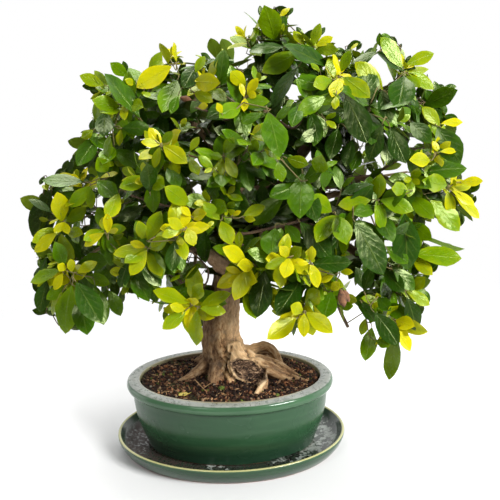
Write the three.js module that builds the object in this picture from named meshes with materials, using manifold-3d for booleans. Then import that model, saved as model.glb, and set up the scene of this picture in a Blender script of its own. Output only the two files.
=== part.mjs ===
// Golden dewdrop bonsai in an oval green-glazed pot that stands on its saucer.
// Millimetres, +Z up, the front faces -Y. The origin is the middle of the saucer's flat underside.

import * as THREE from 'three';
import { mergeVertices } from 'three/addons/utils/BufferGeometryUtils.js';
import Module from 'manifold-3d';

const wasm = await Module();
wasm.setup();

// Driving dimensions of the pot and its saucer
const gap = 0.35;
const ovalSides = 28;
const potHalfLength = 110;
const potHalfWidth = 80.5;
const potRimTop = 79;
const potFootBottom = 5.5;
const potFloorTop = 18;
const rimBand = 14;
const saucerHalfLength = 122.5;
const drainRadius = 7;
const drainOffset = 42;
const screenRadius = 11;
const screenThickness = 1;
const soilTop = 76.5;
const soilRise = 1.5;
const soilCrumb = 1.1;
const trunkSides = 9;
const trunkSteps = 7;
const limbSides = 5;
const limbSteps = 3;

// Driving dimensions of the leaves and twigs
const leafLength = 28;
const leafThickness = 0.75;
const twigHalf = 0.95;
const stalkRadius = 2.1;
const leafFoot = 0.8;
const goldenLength = 7;
const leanToLight = 0.25;
const canopyMiddle = new THREE.Vector3(20, 10, 240);

// Leaf pairs of one shoot, counted from its tip: distance from the tip, length as a share of
// leafLength, and the angle that the leaves stand off the shoot in degrees
const leafPairs = [
  { fromTip: 1.5, length: 0.4, angle: 28 },
  { fromTip: 4, length: 0.6, angle: 42 },
  { fromTip: 9.5, length: 0.9, angle: 46 },
  { fromTip: 17, length: 1, angle: 66 },
];

// Trunk, roots and limbs: each point is x, y, z and the radius there
const trunkPoints = [
  [-2, 14, 44, 22],
  [-1, 14, 66, 31],
  [-2, 14, 82, 29],
  [-6, 14, 98, 24],
  [-9, 14, 116, 21],
  [-8, 14, 138, 19.5],
  [-4, 14, 164, 16],
  [0, 15, 192, 13.5],
  [4, 15, 226, 12.5],
  [9, 15, 262, 11],
];

const roots = [
  [[16, 0, 96, 10], [34, -6, 90, 9], [50, -6, 83, 8], [66, -6, 75, 6], [79, -9, 69, 3]],
  [[8, 24, 95, 9], [22, 30, 92, 7.5], [34, 33, 91, 7.5], [43, 38, 86, 6], [50, 43, 76, 4.5], [53, 46, 67, 3]],
  [[16, -2, 80, 10], [30, -14, 80, 7], [36, -26, 79, 5], [32, -39, 76, 3.8], [27, -46, 69, 2.8]],
  [[10, -8, 84, 8], [20, -18, 81, 5], [27, -23, 77, 3.5], [31, -27, 70, 3]],
  [[-10, 0, 90, 10], [-16, -12, 82, 7.5], [-18, -20, 75, 5.5], [-18, -26, 66, 4]],
  [[4, -4, 88, 9], [2, -14, 80, 6], [2, -20, 72, 4]],
  [[-22, 8, 88, 9], [-38, 0, 80, 5.5], [-50, -6, 75, 3.5], [-58, -9, 68, 2.5]],
  [[-16, 28, 90, 10], [-32, 40, 80, 6], [-44, 48, 70, 3.5]],
  [[4, 34, 88, 9], [10, 46, 80, 6], [14, 54, 70, 4]],
];

// The cut end of an old root, low on the right of the trunk: a sunken oval in a raised lip
const scarMiddle = new THREE.Vector3(21, -16, 90);
const scarFacing = new THREE.Vector3(0.42, -0.86, 0.3).normalize();
const scarAlong = new THREE.Vector3(0.85, 0.25, -0.46);
const scarHalfLength = 18;
const scarHalfWidth = 11.5;
const scarLip = 3;
const scarDepth = 6;

const limbs = {
  leader: [[9, 15, 254, 9.5], [1, 18, 290, 8], [12, 14, 328, 6.5], [24, 8, 360, 5], [34, 4, 388, 3.2]],
  right_high: [
    [7, 15, 256, 10.5], [42, 9, 274, 9], [84, 2, 280, 7.5], [120, -8, 284, 5.5], [156, -14, 290, 3.4],
  ],
  right_low: [
    [2, 14, 206, 9.5], [40, 8, 230, 8], [82, -2, 236, 6.5], [118, -14, 222, 4.8], [142, -24, 204, 3.2],
  ],
  left_low: [
    [-6, 14, 150, 10], [-32, 8, 170, 8], [-62, -2, 202, 6.5], [-94, -12, 220, 5], [-122, -18, 226, 3.2],
  ],
  left_high: [[3, 15, 226, 9.5], [-32, 6, 262, 7.5], [-64, -6, 286, 5.5], [-92, -14, 304, 3.2]],
  front_left: [[-2, 10, 192, 9], [-18, -20, 216, 6], [-38, -54, 232, 4.4], [-48, -72, 238, 3]],
  front_right: [[4, 10, 222, 8.5], [18, -22, 238, 6], [28, -54, 250, 4.4], [34, -76, 256, 3]],
  back_middle: [[4, 18, 232, 9], [14, 52, 256, 7], [24, 84, 276, 5], [28, 104, 286, 3.2]],
  back_left: [[-2, 18, 206, 9], [-34, 44, 234, 6.5], [-68, 66, 254, 5], [-98, 78, 262, 3.2]],
  back_right: [[4, 18, 216, 9], [46, 42, 238, 6.5], [92, 62, 254, 5], [134, 72, 262, 3.2]],
  crown_right: [[56, 7, 276, 6.5], [78, 4, 312, 5.5], [104, -4, 344, 4.4], [128, -10, 362, 3.2]],
  crown_left: [[4, 17, 304, 6.5], [-24, 8, 338, 5], [-52, -4, 360, 3.2]],
  crown_back: [[12, 15, 326, 6], [24, 36, 352, 4.6], [30, 46, 370, 3.2]],
};

// Sprays: the limb that carries it, the fork where its twigs part, and its shoots. A shoot is the
// x, y, z of its tip, the turn of its leaf pairs in degrees, the size of its leaves, and 1 where
// it ends in golden leaves
const sprays = {
  crown_peak: ['leader', 1, [38, 2, 404],
    [47, 0, 434, 20, 1.15, 0], [22, -20, 424, 60, 1, 1], [74, -14, 420, 10, 1.05, 0]],
  crown_front: ['crown_right', 0.55, [74, -46, 376],
    [89, -42, 412, 30, 1.15, 0], [103, -84, 387, 0, 0.9, 1], [80, -114, 366, 45, 1, 0]],
  crown_middle: ['leader', 0.6, [-2, -40, 374],
    [-1, -24, 409, 0, 1.15, 0], [-14, -76, 386, 70, 1, 1], [22, -112, 366, 30, 1.05, 0]],
  shoulder_left: ['crown_left', 1, [-70, -14, 374],
    [-46, -12, 408, 0, 0.95, 1], [-64, -44, 394, 80, 1.1, 0], [-84, -74, 366, 20, 1, 0],
    [-112, -22, 376, 50, 1.1, 0]],
  left_upper: ['left_high', 1, [-108, -18, 318],
    [-136, -12, 326, 0, 1, 0], [-120, 20, 350, 40, 1, 0], [-94, -74, 332, 80, 1.05, 0]],
  left_face: ['left_high', 0.6, [-46, -58, 318],
    [-50, -100, 332, 45, 1, 1], [-62, -112, 304, 10, 1.1, 0]],
  left_edge: ['left_low', 0.82, [-122, -28, 262],
    [-130, -60, 298, 0, 1, 1], [-154, -54, 262, 60, 1.1, 0], [-188, 8, 262, 20, 1.1, 0],
    [-102, -98, 258, 30, 0.9, 0]],
  left_skirt: ['left_low', 1, [-140, -26, 216],
    [-150, -64, 213, 30, 1.2, 1], [-180, -18, 222, 0, 1, 0], [-176, 2, 168, 60, 1.1, 0]],
  left_front: ['front_left', 1, [-58, -88, 244],
    [-64, -126, 250, 45, 1.05, 0], [-28, -136, 268, 20, 0.95, 1], [-88, -106, 222, 70, 1, 0]],
  low_front: ['front_left', 0.6, [-28, -80, 206],
    [-29, -116, 192, 15, 1.2, 1], [-62, -80, 192, 50, 1, 0]],
  centre_face: ['front_right', 0.75, [2, -76, 292],
    [4, -120, 326, 20, 1, 0], [28, -132, 342, 60, 1.05, 0], [-12, -114, 284, 0, 1, 0]],
  centre_low: ['front_right', 1, [34, -90, 236],
    [14, -122, 222, 30, 1.1, 1], [54, -150, 242, 0, 0.95, 1], [38, -96, 192, 60, 1.2, 0]],
  right_face_low: ['right_low', 0.7, [82, -68, 206],
    [66, -112, 184, 40, 1.1, 1], [84, -120, 218, 0, 1, 0], [112, -64, 182, 70, 1, 0]],
  right_face: ['right_high', 0.55, [84, -62, 284],
    [112, -116, 264, 0, 1.5, 0], [66, -130, 304, 45, 1.3, 0]],
  crown_fall: ['crown_right', 0.8, [122, -54, 344],
    [128, -102, 366, 10, 1.35, 0], [158, -72, 346, 60, 1.2, 0]],
  crown_right: ['crown_right', 1, [150, -12, 372],
    [170, -32, 392, 20, 1.05, 1], [136, 2, 404, 60, 1, 0], [208, 0, 360, 0, 1.1, 0]],
  shoulder_right: ['right_high', 0.9, [180, -24, 314],
    [191, -74, 318, 20, 1, 1], [218, 18, 324, 50, 1.15, 0], [168, -84, 296, 0, 1, 0]],
  right_edge: ['right_high', 1, [190, -22, 268],
    [214, -52, 286, 20, 1.05, 1], [234, -18, 262, 60, 1, 0], [170, -62, 250, 0, 1.35, 0],
    [196, -26, 216, 30, 1.4, 0]],
  right_middle: ['right_high', 0.72, [134, -66, 264],
    [134, -112, 280, 40, 1.05, 0], [148, -96, 232, 10, 1.2, 0]],
  right_skirt: ['right_low', 1, [152, -44, 194],
    [172, -66, 188, 0, 1, 0], [160, -82, 158, 40, 1.25, 1], [188, -10, 176, 60, 1, 0]],
  crown_rear: ['crown_back', 1, [34, 58, 384],
    [60, 82, 408, 40, 1.15, 0], [4, 78, 408, 20, 1.15, 0]],
  rear_left_crown: ['crown_left', 0.7, [-54, 56, 346],
    [-84, 82, 366, 50, 1.15, 0], [-40, 106, 352, 20, 1.15, 0]],
  rear_right_crown: ['crown_right', 0.65, [112, 54, 350],
    [146, 80, 366, 50, 1.15, 0], [98, 108, 352, 20, 1.15, 0]],
  rear_middle: ['back_middle', 1, [30, 118, 300],
    [2, 142, 316, 40, 1.15, 0], [58, 144, 312, 20, 1.15, 0]],
  rear_low: ['back_middle', 0.7, [20, 98, 236],
    [-12, 132, 218, 40, 1.15, 0], [50, 134, 216, 20, 1.15, 0]],
  rear_left: ['back_left', 1, [-114, 86, 268],
    [-142, 100, 286, 0, 1.15, 0], [-104, 128, 258, 20, 1.15, 0]],
  rear_left_low: ['back_left', 0.8, [-92, 62, 212],
    [-104, 92, 188, 0, 1.1, 0], [-130, 58, 196, 40, 1.1, 0]],
  rear_right: ['back_right', 1, [150, 82, 270],
    [180, 98, 288, 0, 1.15, 0], [138, 130, 260, 20, 1.15, 0]],
  rear_right_low: ['back_right', 0.75, [116, 64, 212],
    [128, 96, 188, 0, 1.1, 0], [154, 58, 192, 40, 1.1, 0]],
  side_left: ['left_low', 0.68, [-142, 34, 238],
    [-170, 48, 240, 0, 1.15, 0]],
  side_right: ['right_high', 0.82, [192, 44, 286],
    [224, 54, 288, 0, 1.15, 0]],
};

// What has dropped on the soil: one leaf by its foot and heading, and one bare twig by its ends
const droppedLeaf = {
  foot: new THREE.Vector3(-38, -43, 90),
  along: new THREE.Vector3(-0.95, -0.25, 0).normalize(),
  up: new THREE.Vector3(0, 0, 1),
  length: 15,
  halfWidth: 4.5,
  arch: 0.08,
};
const droppedTwig = [[-36, -20, 92], [-22, -42, 88]];
const droppedTwigHalf = 0.6;

const finishes = {
  glaze: { color: 0x4f8a5b, roughness: 0.25, metalness: 0 },
  saucerGlaze: { color: 0x5d9468, roughness: 0.25, metalness: 0 },
  screen: { color: 0x2b2f33, roughness: 0.7, metalness: 0 },
  soil: { color: 0x3a2519, roughness: 1, metalness: 0 },
  bark: { color: 0x8a6a48, roughness: 0.9, metalness: 0 },
  leaf: { color: 0x4f7f22, roughness: 0.45, metalness: 0 },
  golden: { color: 0xd6d92a, roughness: 0.45, metalness: 0 },
  dryLeaf: { color: 0xcdbf45, roughness: 0.6, metalness: 0 },
  dryTwig: { color: 0xb08a5c, roughness: 0.8, metalness: 0 },
};

// A repeatable draw from 0 to 1 for a whole number
function draw(seed) {
  const wave = Math.sin(seed * 12.9898 + 4.1414) * 43758.5453;
  return wave - Math.floor(wave);
}

// Three.js geometry to a solid, and back
function solidOf(geometry) {
  const bare = geometry.clone();
  bare.deleteAttribute('normal');
  bare.deleteAttribute('uv');
  const merged = mergeVertices(bare, 1e-4);
  return new wasm.Manifold(new wasm.Mesh({
    numProp: 3,
    vertProperties: new Float32Array(merged.attributes.position.array),
    triVerts: new Uint32Array(merged.index.array),
  }));
}

function geometryOf(solid) {
  const mesh = solid.getMesh();
  const geometry = new THREE.BufferGeometry();
  geometry.setAttribute('position', new THREE.BufferAttribute(mesh.vertProperties, 3));
  geometry.setIndex(new THREE.BufferAttribute(mesh.triVerts, 1));
  geometry.computeVertexNormals();
  return geometry;
}

// An oval vessel is a lathe turned on its long half axis. Outside the foot every wall keeps its
// thickness all round, and inside it the floor shrinks evenly to the middle.
const longerBy = potHalfLength - potHalfWidth;
const evenWithin = 68;

function oval(profile) {
  const lathe = new THREE.LatheGeometry(profile.map(([r, z]) => new THREE.Vector2(r, z)), ovalSides);
  const position = lathe.attributes.position;
  for (let i = 0; i < position.count; i++) {
    const radius = Math.hypot(position.getX(i), position.getZ(i));
    const across = radius > evenWithin
      ? radius - longerBy
      : radius * (evenWithin - longerBy) / evenWithin;
    const turn = Math.atan2(position.getZ(i), position.getX(i));
    position.setXYZ(i, radius * Math.cos(turn), -across * Math.sin(turn), position.getY(i));
  }
  return solidOf(lathe);
}

function disc(radius, height, x, y, z, sides = 16) {
  const cylinder = new THREE.CylinderGeometry(radius, radius, height, sides);
  cylinder.rotateX(Math.PI / 2);
  cylinder.translate(x, y, z + height / 2);
  return solidOf(cylinder);
}

// A tapered bar through points, with a radius at each, and ring planes that share each bend
function bar(points, radii, sides, grow = 0) {
  const last = points.length - 1;
  const cylinder = new THREE.CylinderGeometry(1, 1, 1, sides, last);
  const position = cylinder.attributes.position;
  const chord = points[last].clone().sub(points[0]);
  const axes = [new THREE.Vector3(1, 0, 0), new THREE.Vector3(0, 1, 0), new THREE.Vector3(0, 0, 1)];
  const reference = axes.sort((a, b) => Math.abs(a.dot(chord)) - Math.abs(b.dot(chord)))[0];
  for (let i = 0; i < position.count; i++) {
    const ring = Math.round((position.getY(i) + 0.5) * last);
    const along = points[Math.min(ring + 1, last)].clone().sub(points[Math.max(ring - 1, 0)]).normalize();
    const side = new THREE.Vector3().crossVectors(along, reference).normalize();
    const other = new THREE.Vector3().crossVectors(side, along);
    const past = (ring === last ? grow : 0) - (ring === 0 ? grow : 0);
    const point = points[ring].clone()
      .addScaledVector(along, past)
      .addScaledVector(side, position.getX(i) * (radii[ring] + grow))
      .addScaledVector(other, position.getZ(i) * (radii[ring] + grow));
    position.setXYZ(i, point.x, point.y, point.z);
  }
  return solidOf(cylinder);
}

function woodCurve(points) {
  const vectors = points.map(([x, y, z]) => new THREE.Vector3(x, y, z));
  return new THREE.CatmullRomCurve3(vectors, false, 'centripetal');
}

function wood(points, sides, steps, grow = 0) {
  const curve = woodCurve(points);
  const shares = Array.from({ length: steps + 1 }, (_, i) => i / steps);
  const radii = shares.map((share) => {
    const place = curve.getUtoTmapping(share) * (points.length - 1);
    const index = Math.min(Math.floor(place), points.length - 2);
    return THREE.MathUtils.lerp(points[index][3], points[index + 1][3], place - index);
  });
  return bar(shares.map((share) => curve.getPointAt(share)), radii, sides, grow);
}

// Pot: a foot ring in three lengths, a slightly bellied wall, and a flat rim with a rolled edge
function pot() {
  const rimInside = potHalfLength - rimBand;
  const body = oval([
    [0, 10.5], [77, 10.5], [80, potFootBottom], [89.5, potFootBottom], [91.5, 13], [97, 27], [101.5, 43],
    [103.3, 60], [103.3, 67.5], [108.4, 69.5], [potHalfLength, 73.5], [108.6, 77.8], [106, potRimTop],
    [rimInside, potRimTop], [94.5, 70], [92.6, 48], [88.5, 31], [82, 21], [74, potFloorTop],
    [0, potFloorTop],
  ]);
  const cuts = [-50, 70, 190].map((degrees) => {
    const turn = THREE.MathUtils.degToRad(degrees);
    const box = new THREE.BoxGeometry(34, 34, 6);
    box.rotateZ(Math.atan2(Math.sin(turn) * 84, Math.cos(turn) * 55));
    box.translate(84 * Math.cos(turn), 55 * Math.sin(turn), potFootBottom - 0.4);
    return solidOf(box);
  });
  const drains = [-1, 1].map((side) => disc(drainRadius, 20, side * drainOffset, 0, 5));
  return body.subtract(wasm.Manifold.union([...cuts, ...drains]));
}

// Saucer: a flat underside, a flared wall with a rolled lip, and a flat floor
function saucer() {
  return oval([
    [0, 0], [113, 0], [115.5, 2.5], [120, 9], [saucerHalfLength, 16], [121.8, 18.6], [119.6, 18.6],
    [114.5, 9], [108, 5.15], [0, 5.15],
  ]);
}

// Screen over a drain hole, with two long openings
function screen(side) {
  const plate = disc(screenRadius, screenThickness, side * drainOffset, 0, potFloorTop + gap, 8);
  const openings = [-3, 3].map((x) => {
    const box = new THREE.BoxGeometry(4, 10, 3 * screenThickness);
    box.translate(side * drainOffset + x, 0, potFloorTop + gap + screenThickness / 2);
    return solidOf(box);
  });
  return plate.subtract(wasm.Manifold.union(openings));
}

// Put a shape made flat round the origin on the scar, with its Y axis along the scar
function onScar(geometry) {
  const across = new THREE.Vector3().crossVectors(scarAlong, scarFacing).normalize();
  const along = new THREE.Vector3().crossVectors(scarFacing, across);
  geometry.applyMatrix4(new THREE.Matrix4().makeBasis(across, along, scarFacing).setPosition(scarMiddle));
  return solidOf(geometry);
}

// What stands in the soil: the trunk's foot, the surface roots and the lip of the scar
function footOfTree(grow = 0) {
  const pieces = roots.map((points) => wood(points, limbSides, Math.max(2, points.length - 2), grow));
  const lip = new THREE.TorusGeometry(1, scarLip / scarHalfWidth, 4, 10);
  lip.scale(scarHalfWidth, scarHalfLength, scarHalfWidth);
  pieces.push(wood(trunkPoints, trunkSides, trunkSteps, grow), onScar(lip));
  return wasm.Manifold.union(pieces);
}

function soil(foot) {
  const top = [70, 36].map((r) => [r, soilTop + soilRise * (1 - r / 80)]);
  const fill = oval([
    [0, potFloorTop + gap], [74 - gap, potFloorTop + gap], [88.5 - gap, 31 + gap], [92.6 - gap, 48],
    [94.5 - gap, soilTop - 2.5], ...top, [0, soilTop + soilRise],
  ]);
  const crumbled = fill.warp((point) => {
    if (point[2] > soilTop - 1) {
      point[2] += soilCrumb * (2 * draw(Math.round(point[0] * 3) + 57 * Math.round(point[1] * 3)) - 1);
    }
  });
  const recesses = [-1, 1].map((side) => disc(
    screenRadius + gap, screenThickness + 2 * gap, side * drainOffset, 0, potFloorTop, 8));
  return crumbled.subtract(wasm.Manifold.union([foot, ...recesses]));
}

function limbSolid(points, grow = 0) {
  return wood(points, limbSides, limbSteps, grow);
}

// Where a spray leaves its limb
function placeOnLimb(limb, share) {
  return woodCurve(limbs[limb]).getPointAt(share);
}

// The way a twig heads past its first leaf: up to the light
function headingOf(start, end) {
  const heading = end.clone().sub(start).normalize();
  heading.z += leanToLight;
  return heading.normalize();
}

// Sections of a blade, widest beyond its middle: share of the length, share of the half width
const largeSections = [[0.34, 0.86], [0.7, 0.92], [1, 0]];
const smallSections = [[0.56, 1.1], [1, 0]];

// The directions across a shoot, with its first leaf pair on the first of them
function acrossShoot(heading, turn) {
  const reference = new THREE.Vector3(0.3, 0.25, 0.92);
  const level = new THREE.Vector3().crossVectors(heading, reference).normalize();
  const first = level.applyAxisAngle(heading, THREE.MathUtils.degToRad(turn));
  return [first, new THREE.Vector3().crossVectors(heading, first)];
}

// A leaf: it stands off its shoot, hangs a little, and turns its face to the light
function leafOf(foot, heading, off, pair, size, seed) {
  const aside = THREE.MathUtils.degToRad(16 * (draw(seed) - 0.5));
  const angle = THREE.MathUtils.degToRad(pair.angle + 14 * (draw(seed + 0.3) - 0.5));
  const outwards = off.clone().applyAxisAngle(heading, aside);
  const along = heading.clone().multiplyScalar(Math.cos(angle)).addScaledVector(outwards, Math.sin(angle));
  along.z -= 0.1;
  along.normalize();
  const up = heading.clone().multiplyScalar(Math.sin(angle)).addScaledVector(outwards, -Math.cos(angle));
  up.z += 0.45;
  up.addScaledVector(foot.clone().sub(canopyMiddle).normalize(), 0.35);
  up.addScaledVector(along, -up.dot(along)).normalize();
  const length = leafLength * size * pair.length * (0.88 + 0.24 * draw(seed + 0.6));
  const halfWidth = length * (0.235 + 0.04 * draw(seed + 0.9));
  const sections = pair.length < 0.7 ? smallSections : largeSections;
  const arch = 0.12 + 0.1 * draw(seed + 0.5);
  return { foot, along, up, length, halfWidth, arch, sections };
}

// Other ways to hold a leaf that would touch a neighbour: swung aside and lifted, in degrees
const leafBends = [[0, 0], [16, 0], [-16, 0], [0, 14], [0, -14], [26, -10], [-26, -10], [30, 16], [-30, 16]];

function bent(leaf, [aside, lift]) {
  const side = new THREE.Vector3().crossVectors(leaf.up, leaf.along);
  const turn = new THREE.Quaternion().setFromAxisAngle(leaf.up, THREE.MathUtils.degToRad(aside));
  turn.multiply(new THREE.Quaternion().setFromAxisAngle(side, THREE.MathUtils.degToRad(-lift)));
  const along = leaf.along.clone().applyQuaternion(turn);
  const up = leaf.up.clone().applyQuaternion(turn);
  return { ...leaf, along, up };
}

// A blade's corners, section by section: lower left, lower right, upper right and upper left. It
// is arched along its length, of even thickness, and pointed.
function bladeRings(leaf, thicker = 0) {
  const { foot, along, up, length, halfWidth, arch, sections } = leaf;
  const side = new THREE.Vector3().crossVectors(up, along);
  return sections.map(([share, across]) => {
    const half = across > 0 ? leafThickness / 2 + thicker : 0;
    return [[-1, -1], [1, -1], [1, 1], [-1, 1]].map(([left, above]) => foot.clone()
      .addScaledVector(along, share * (length + thicker))
      .addScaledVector(side, left * across * (halfWidth + thicker))
      .addScaledVector(up, above * half - arch * length * share * share));
  });
}

// Triangles between two rings of four corners. The upper face is split the same way as the lower.
function bridge(near, far) {
  const splits = [[0, 1, 1, 0], [1, 2, 2, 1], null, [3, 0, 0, 3]];
  return splits.flatMap((split) => (split
    ? [near[split[0]], near[split[1]], far[split[2]], near[split[0]], far[split[2]], far[split[3]]]
    : [near[2], near[3], far[2], near[3], far[3], far[2]]));
}

function solidOfTriangles(points) {
  const geometry = new THREE.BufferGeometry();
  geometry.setAttribute('position', new THREE.Float32BufferAttribute(points.flatMap((p) => p.toArray()), 3));
  const merged = mergeVertices(geometry, 1e-4);
  const corners = merged.index.array;
  const kept = [];
  for (let i = 0; i < corners.length; i += 3) {
    const [a, b, c] = corners.slice(i, i + 3);
    if (a !== b && b !== c && c !== a) {
      kept.push(a, b, c);
    }
  }
  merged.setIndex(kept);
  return solidOf(merged);
}

function looseBlade(leaf, thicker) {
  const rings = bladeRings(leaf, thicker);
  const foot = rings[0].map(() => leaf.foot);
  return solidOfTriangles([foot, ...rings].slice(0, -1).flatMap((ring, i) => bridge(ring, rings[i])));
}

// A shoot: a square twig through its points, with each leaf raised from a face of its own band. A
// band is a short length of the twig, and leaves is a list of [band's distance from the end of
// the twig, face, leaf].
function shootSolid({ start, tip, heading, across: [first, second], from, to }, leaves) {
  const bands = [...new Set(leaves.map(([distance]) => distance))].sort((a, b) => b - a);
  const onTwig = (distance) => tip.clone().addScaledVector(heading, -distance);
  const centres = from === null ? [start] : [onTwig(from)];
  const stations = bands.flatMap((distance) => [distance + leafFoot, distance - leafFoot]);
  centres.push(...stations.map(onTwig));
  if (to !== null) {
    centres.push(onTwig(to));
  }
  const ring = (centre) => [[1, -1], [1, 1], [-1, 1], [-1, -1]].map(([u, v]) => centre.clone()
    .addScaledVector(first, u * twigHalf).addScaledVector(second, v * twigHalf));
  const rings = centres.map(ring);
  const points = [];
  for (let i = 0; i + 1 < rings.length; i++) {
    const band = i % 2 === 1 ? bands[(i - 1) / 2] : undefined;
    for (let face = 0; face < 4; face++) {
      const next = (face + 1) % 4;
      const quad = [rings[i][face], rings[i][next], rings[i + 1][next], rings[i + 1][face]];
      const grown = leaves.find(([distance, side]) => distance === band && side === face);
      if (grown) {
        let near = quad;
        for (const far of bladeRings(grown[2])) {
          points.push(...bridge(near, far));
          near = far;
        }
      } else {
        points.push(quad[0], quad[1], quad[2], quad[0], quad[2], quad[3]);
      }
    }
  }
  const [a, b, c, d] = rings[0];
  const [e, f, g, h] = rings[rings.length - 1];
  points.push(a, c, b, a, d, c, e, f, g, e, g, h);
  return solidOfTriangles(points);
}

// Solids placed so far, by node, with their boxes, so that no leaf crosses another node
const placed = [];

function add(node, solid, isWood = false) {
  placed.push({ node, solid, isWood, box: solid.boundingBox() });
}

function boxesMeet(a, b) {
  return [0, 1, 2].every((axis) => a.min[axis] < b.max[axis] && b.min[axis] < a.max[axis]);
}

function isClear(node, solid) {
  const box = solid.boundingBox();
  return placed.every((other) => other.node === node || !boxesMeet(box, other.box)
    || solid.intersect(other.solid).isEmpty());
}

// The woody parts of every node first, then the leaves from the largest down
const foot = footOfTree();
const footRoom = footOfTree(gap);
const hollow = new THREE.SphereGeometry(1, 8, 4);
hollow.scale(scarHalfWidth - 1, scarHalfLength - 1, scarDepth);
add('tree', foot.subtract(onScar(hollow)), true);
Object.values(limbs).forEach((points) => add('tree', limbSolid(points), true));

const shoots = [];
let seed = 1;

for (const [name, [limb, share, fork, ...tips]] of Object.entries(sprays)) {
  const node = `spray_${name}`;
  const start = new THREE.Vector3(...fork);
  const onLimb = placeOnLimb(limb, share);
  const stalk = bar([onLimb, start], [stalkRadius, stalkRadius], 3);
  add(node, stalk.subtract(limbSolid(limbs[limb], gap)), true);
  tips.forEach(([x, y, z, turn, size, isGolden], number) => {
    const tip = new THREE.Vector3(x, y, z);
    const heading = headingOf(start, tip);
    const across = acrossShoot(heading, turn);
    const green = { node, start, tip, heading, across, from: null, to: isGolden ? goldenLength + gap : null };
    const gold = { ...green, node: `golden_${name}_${number + 1}`, from: goldenLength, to: null };
    green.leaves = [];
    gold.leaves = [];
    leafPairs.forEach((pair, order) => {
      const owner = pair.fromTip < goldenLength ? gold : green;
      for (const half of [0, 2]) {
        seed += 1;
        const face = (order + half) % 4;
        const off = across[face % 2].clone().multiplyScalar(face < 2 ? 1 : -1);
        const foot = tip.clone().addScaledVector(heading, -pair.fromTip);
        owner.leaves.push([pair.fromTip, face, leafOf(foot, heading, off, pair, size, seed)]);
      }
    });
    shoots.push(green);
    if (isGolden) {
      shoots.push(gold);
    }
  });
}

shoots.forEach((shoot) => {
  const bare = shoot.leaves.map(([distance]) => [distance, -1, null]);
  add(shoot.node, shootSolid(shoot, bare));
});

const waiting = shoots.flatMap((shoot) => shoot.leaves.map((entry) => ({ shoot, entry })));
waiting.sort((a, b) => b.entry[2].length - a.entry[2].length);
shoots.forEach((shoot) => { shoot.held = []; });
for (const { shoot, entry: [distance, face, leaf] } of waiting) {
  const ways = leafBends.map((bend) => bent(leaf, bend));
  const held = ways.find((way) => isClear(shoot.node, looseBlade(way, gap)));
  if (held) {
    add(shoot.node, looseBlade(held, 0));
    shoot.held.push([distance, face, held]);
  }
}

// A loose piece comes down by small steps until it is just clear of what lies below
function settled(solid, below) {
  let drop = 0;
  while (solid.translate([0, 0, drop - gap]).intersect(below).isEmpty()) {
    drop -= gap / 2;
  }
  return solid.translate([0, 0, drop + gap / 2]);
}

// The scene graph
const group = new THREE.Group();

function place(name, solid, finish) {
  const mesh = new THREE.Mesh(geometryOf(solid), new THREE.MeshStandardMaterial(finish));
  mesh.name = name;
  group.add(mesh);
}

function joined(node) {
  const stalks = placed.filter((piece) => piece.node === node && piece.isWood).map((piece) => piece.solid);
  const leafy = shoots.filter((shoot) => shoot.node === node).map((shoot) => shootSolid(shoot, shoot.held));
  return wasm.Manifold.union([...stalks, ...leafy]);
}

place('saucer', saucer(), finishes.saucerGlaze);
place('pot', pot(), finishes.glaze);
place('drain_screen_left', screen(-1), finishes.screen);
place('drain_screen_right', screen(1), finishes.screen);
const bed = soil(footRoom);
place('soil', bed, finishes.soil);
const fallen = looseBlade({ ...droppedLeaf, sections: largeSections }, 0);
place('fallen_leaf', settled(fallen, bed), finishes.dryLeaf);
const twigEnds = droppedTwig.map((point) => new THREE.Vector3(...point));
const bareTwig = bar(twigEnds, [droppedTwigHalf, droppedTwigHalf], 4);
place('fallen_twig', settled(bareTwig, bed), finishes.dryTwig);
place('tree', joined('tree'), finishes.bark);
Object.keys(sprays).forEach((name) => place(`spray_${name}`, joined(`spray_${name}`), finishes.leaf));
const goldenNodes = shoots.map((shoot) => shoot.node).filter((node) => node.startsWith('golden'));
goldenNodes.forEach((name) => place(name, joined(name), finishes.golden));

export default group;
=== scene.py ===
"""Golden dewdrop bonsai in an oval green pot on its saucer: the finish of every surface.

Lengths are millimetres while a piece is made. A finished piece is in metres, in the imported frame.
"""

import math
from collections import namedtuple

import bmesh
import bpy
from mathutils import Matrix, Quaternion, Vector, noise
from mathutils.kdtree import KDTree


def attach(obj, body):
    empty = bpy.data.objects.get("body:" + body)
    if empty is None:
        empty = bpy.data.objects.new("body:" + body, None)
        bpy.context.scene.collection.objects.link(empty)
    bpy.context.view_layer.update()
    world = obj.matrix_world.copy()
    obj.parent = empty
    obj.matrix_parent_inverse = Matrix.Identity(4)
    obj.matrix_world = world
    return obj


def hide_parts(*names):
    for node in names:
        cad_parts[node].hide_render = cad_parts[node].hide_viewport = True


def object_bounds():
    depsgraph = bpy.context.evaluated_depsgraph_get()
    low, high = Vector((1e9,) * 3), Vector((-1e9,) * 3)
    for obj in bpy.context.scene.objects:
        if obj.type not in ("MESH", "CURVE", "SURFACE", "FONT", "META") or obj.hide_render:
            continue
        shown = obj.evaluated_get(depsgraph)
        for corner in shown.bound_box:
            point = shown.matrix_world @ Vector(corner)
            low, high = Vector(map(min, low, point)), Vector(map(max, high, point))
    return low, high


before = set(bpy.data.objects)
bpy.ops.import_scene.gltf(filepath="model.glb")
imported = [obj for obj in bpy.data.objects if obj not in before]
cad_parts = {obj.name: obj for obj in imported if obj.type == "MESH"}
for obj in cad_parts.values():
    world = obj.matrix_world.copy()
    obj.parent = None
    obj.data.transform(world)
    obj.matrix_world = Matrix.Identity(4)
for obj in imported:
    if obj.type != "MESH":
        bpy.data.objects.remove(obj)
cad_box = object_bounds()

MM = 0.001

# The photograph's camera, with its lens and its picture in pixels
EYE = (
    Matrix.Translation((23.9, -700, 382)) @ Matrix.Rotation(math.radians(90 - 13.44), 4, "X")
    @ Matrix.Rotation(math.radians(-1.1), 4, "Z"))
EYE_LENS = 703.5
PICTURE_SIZE = 500

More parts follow.
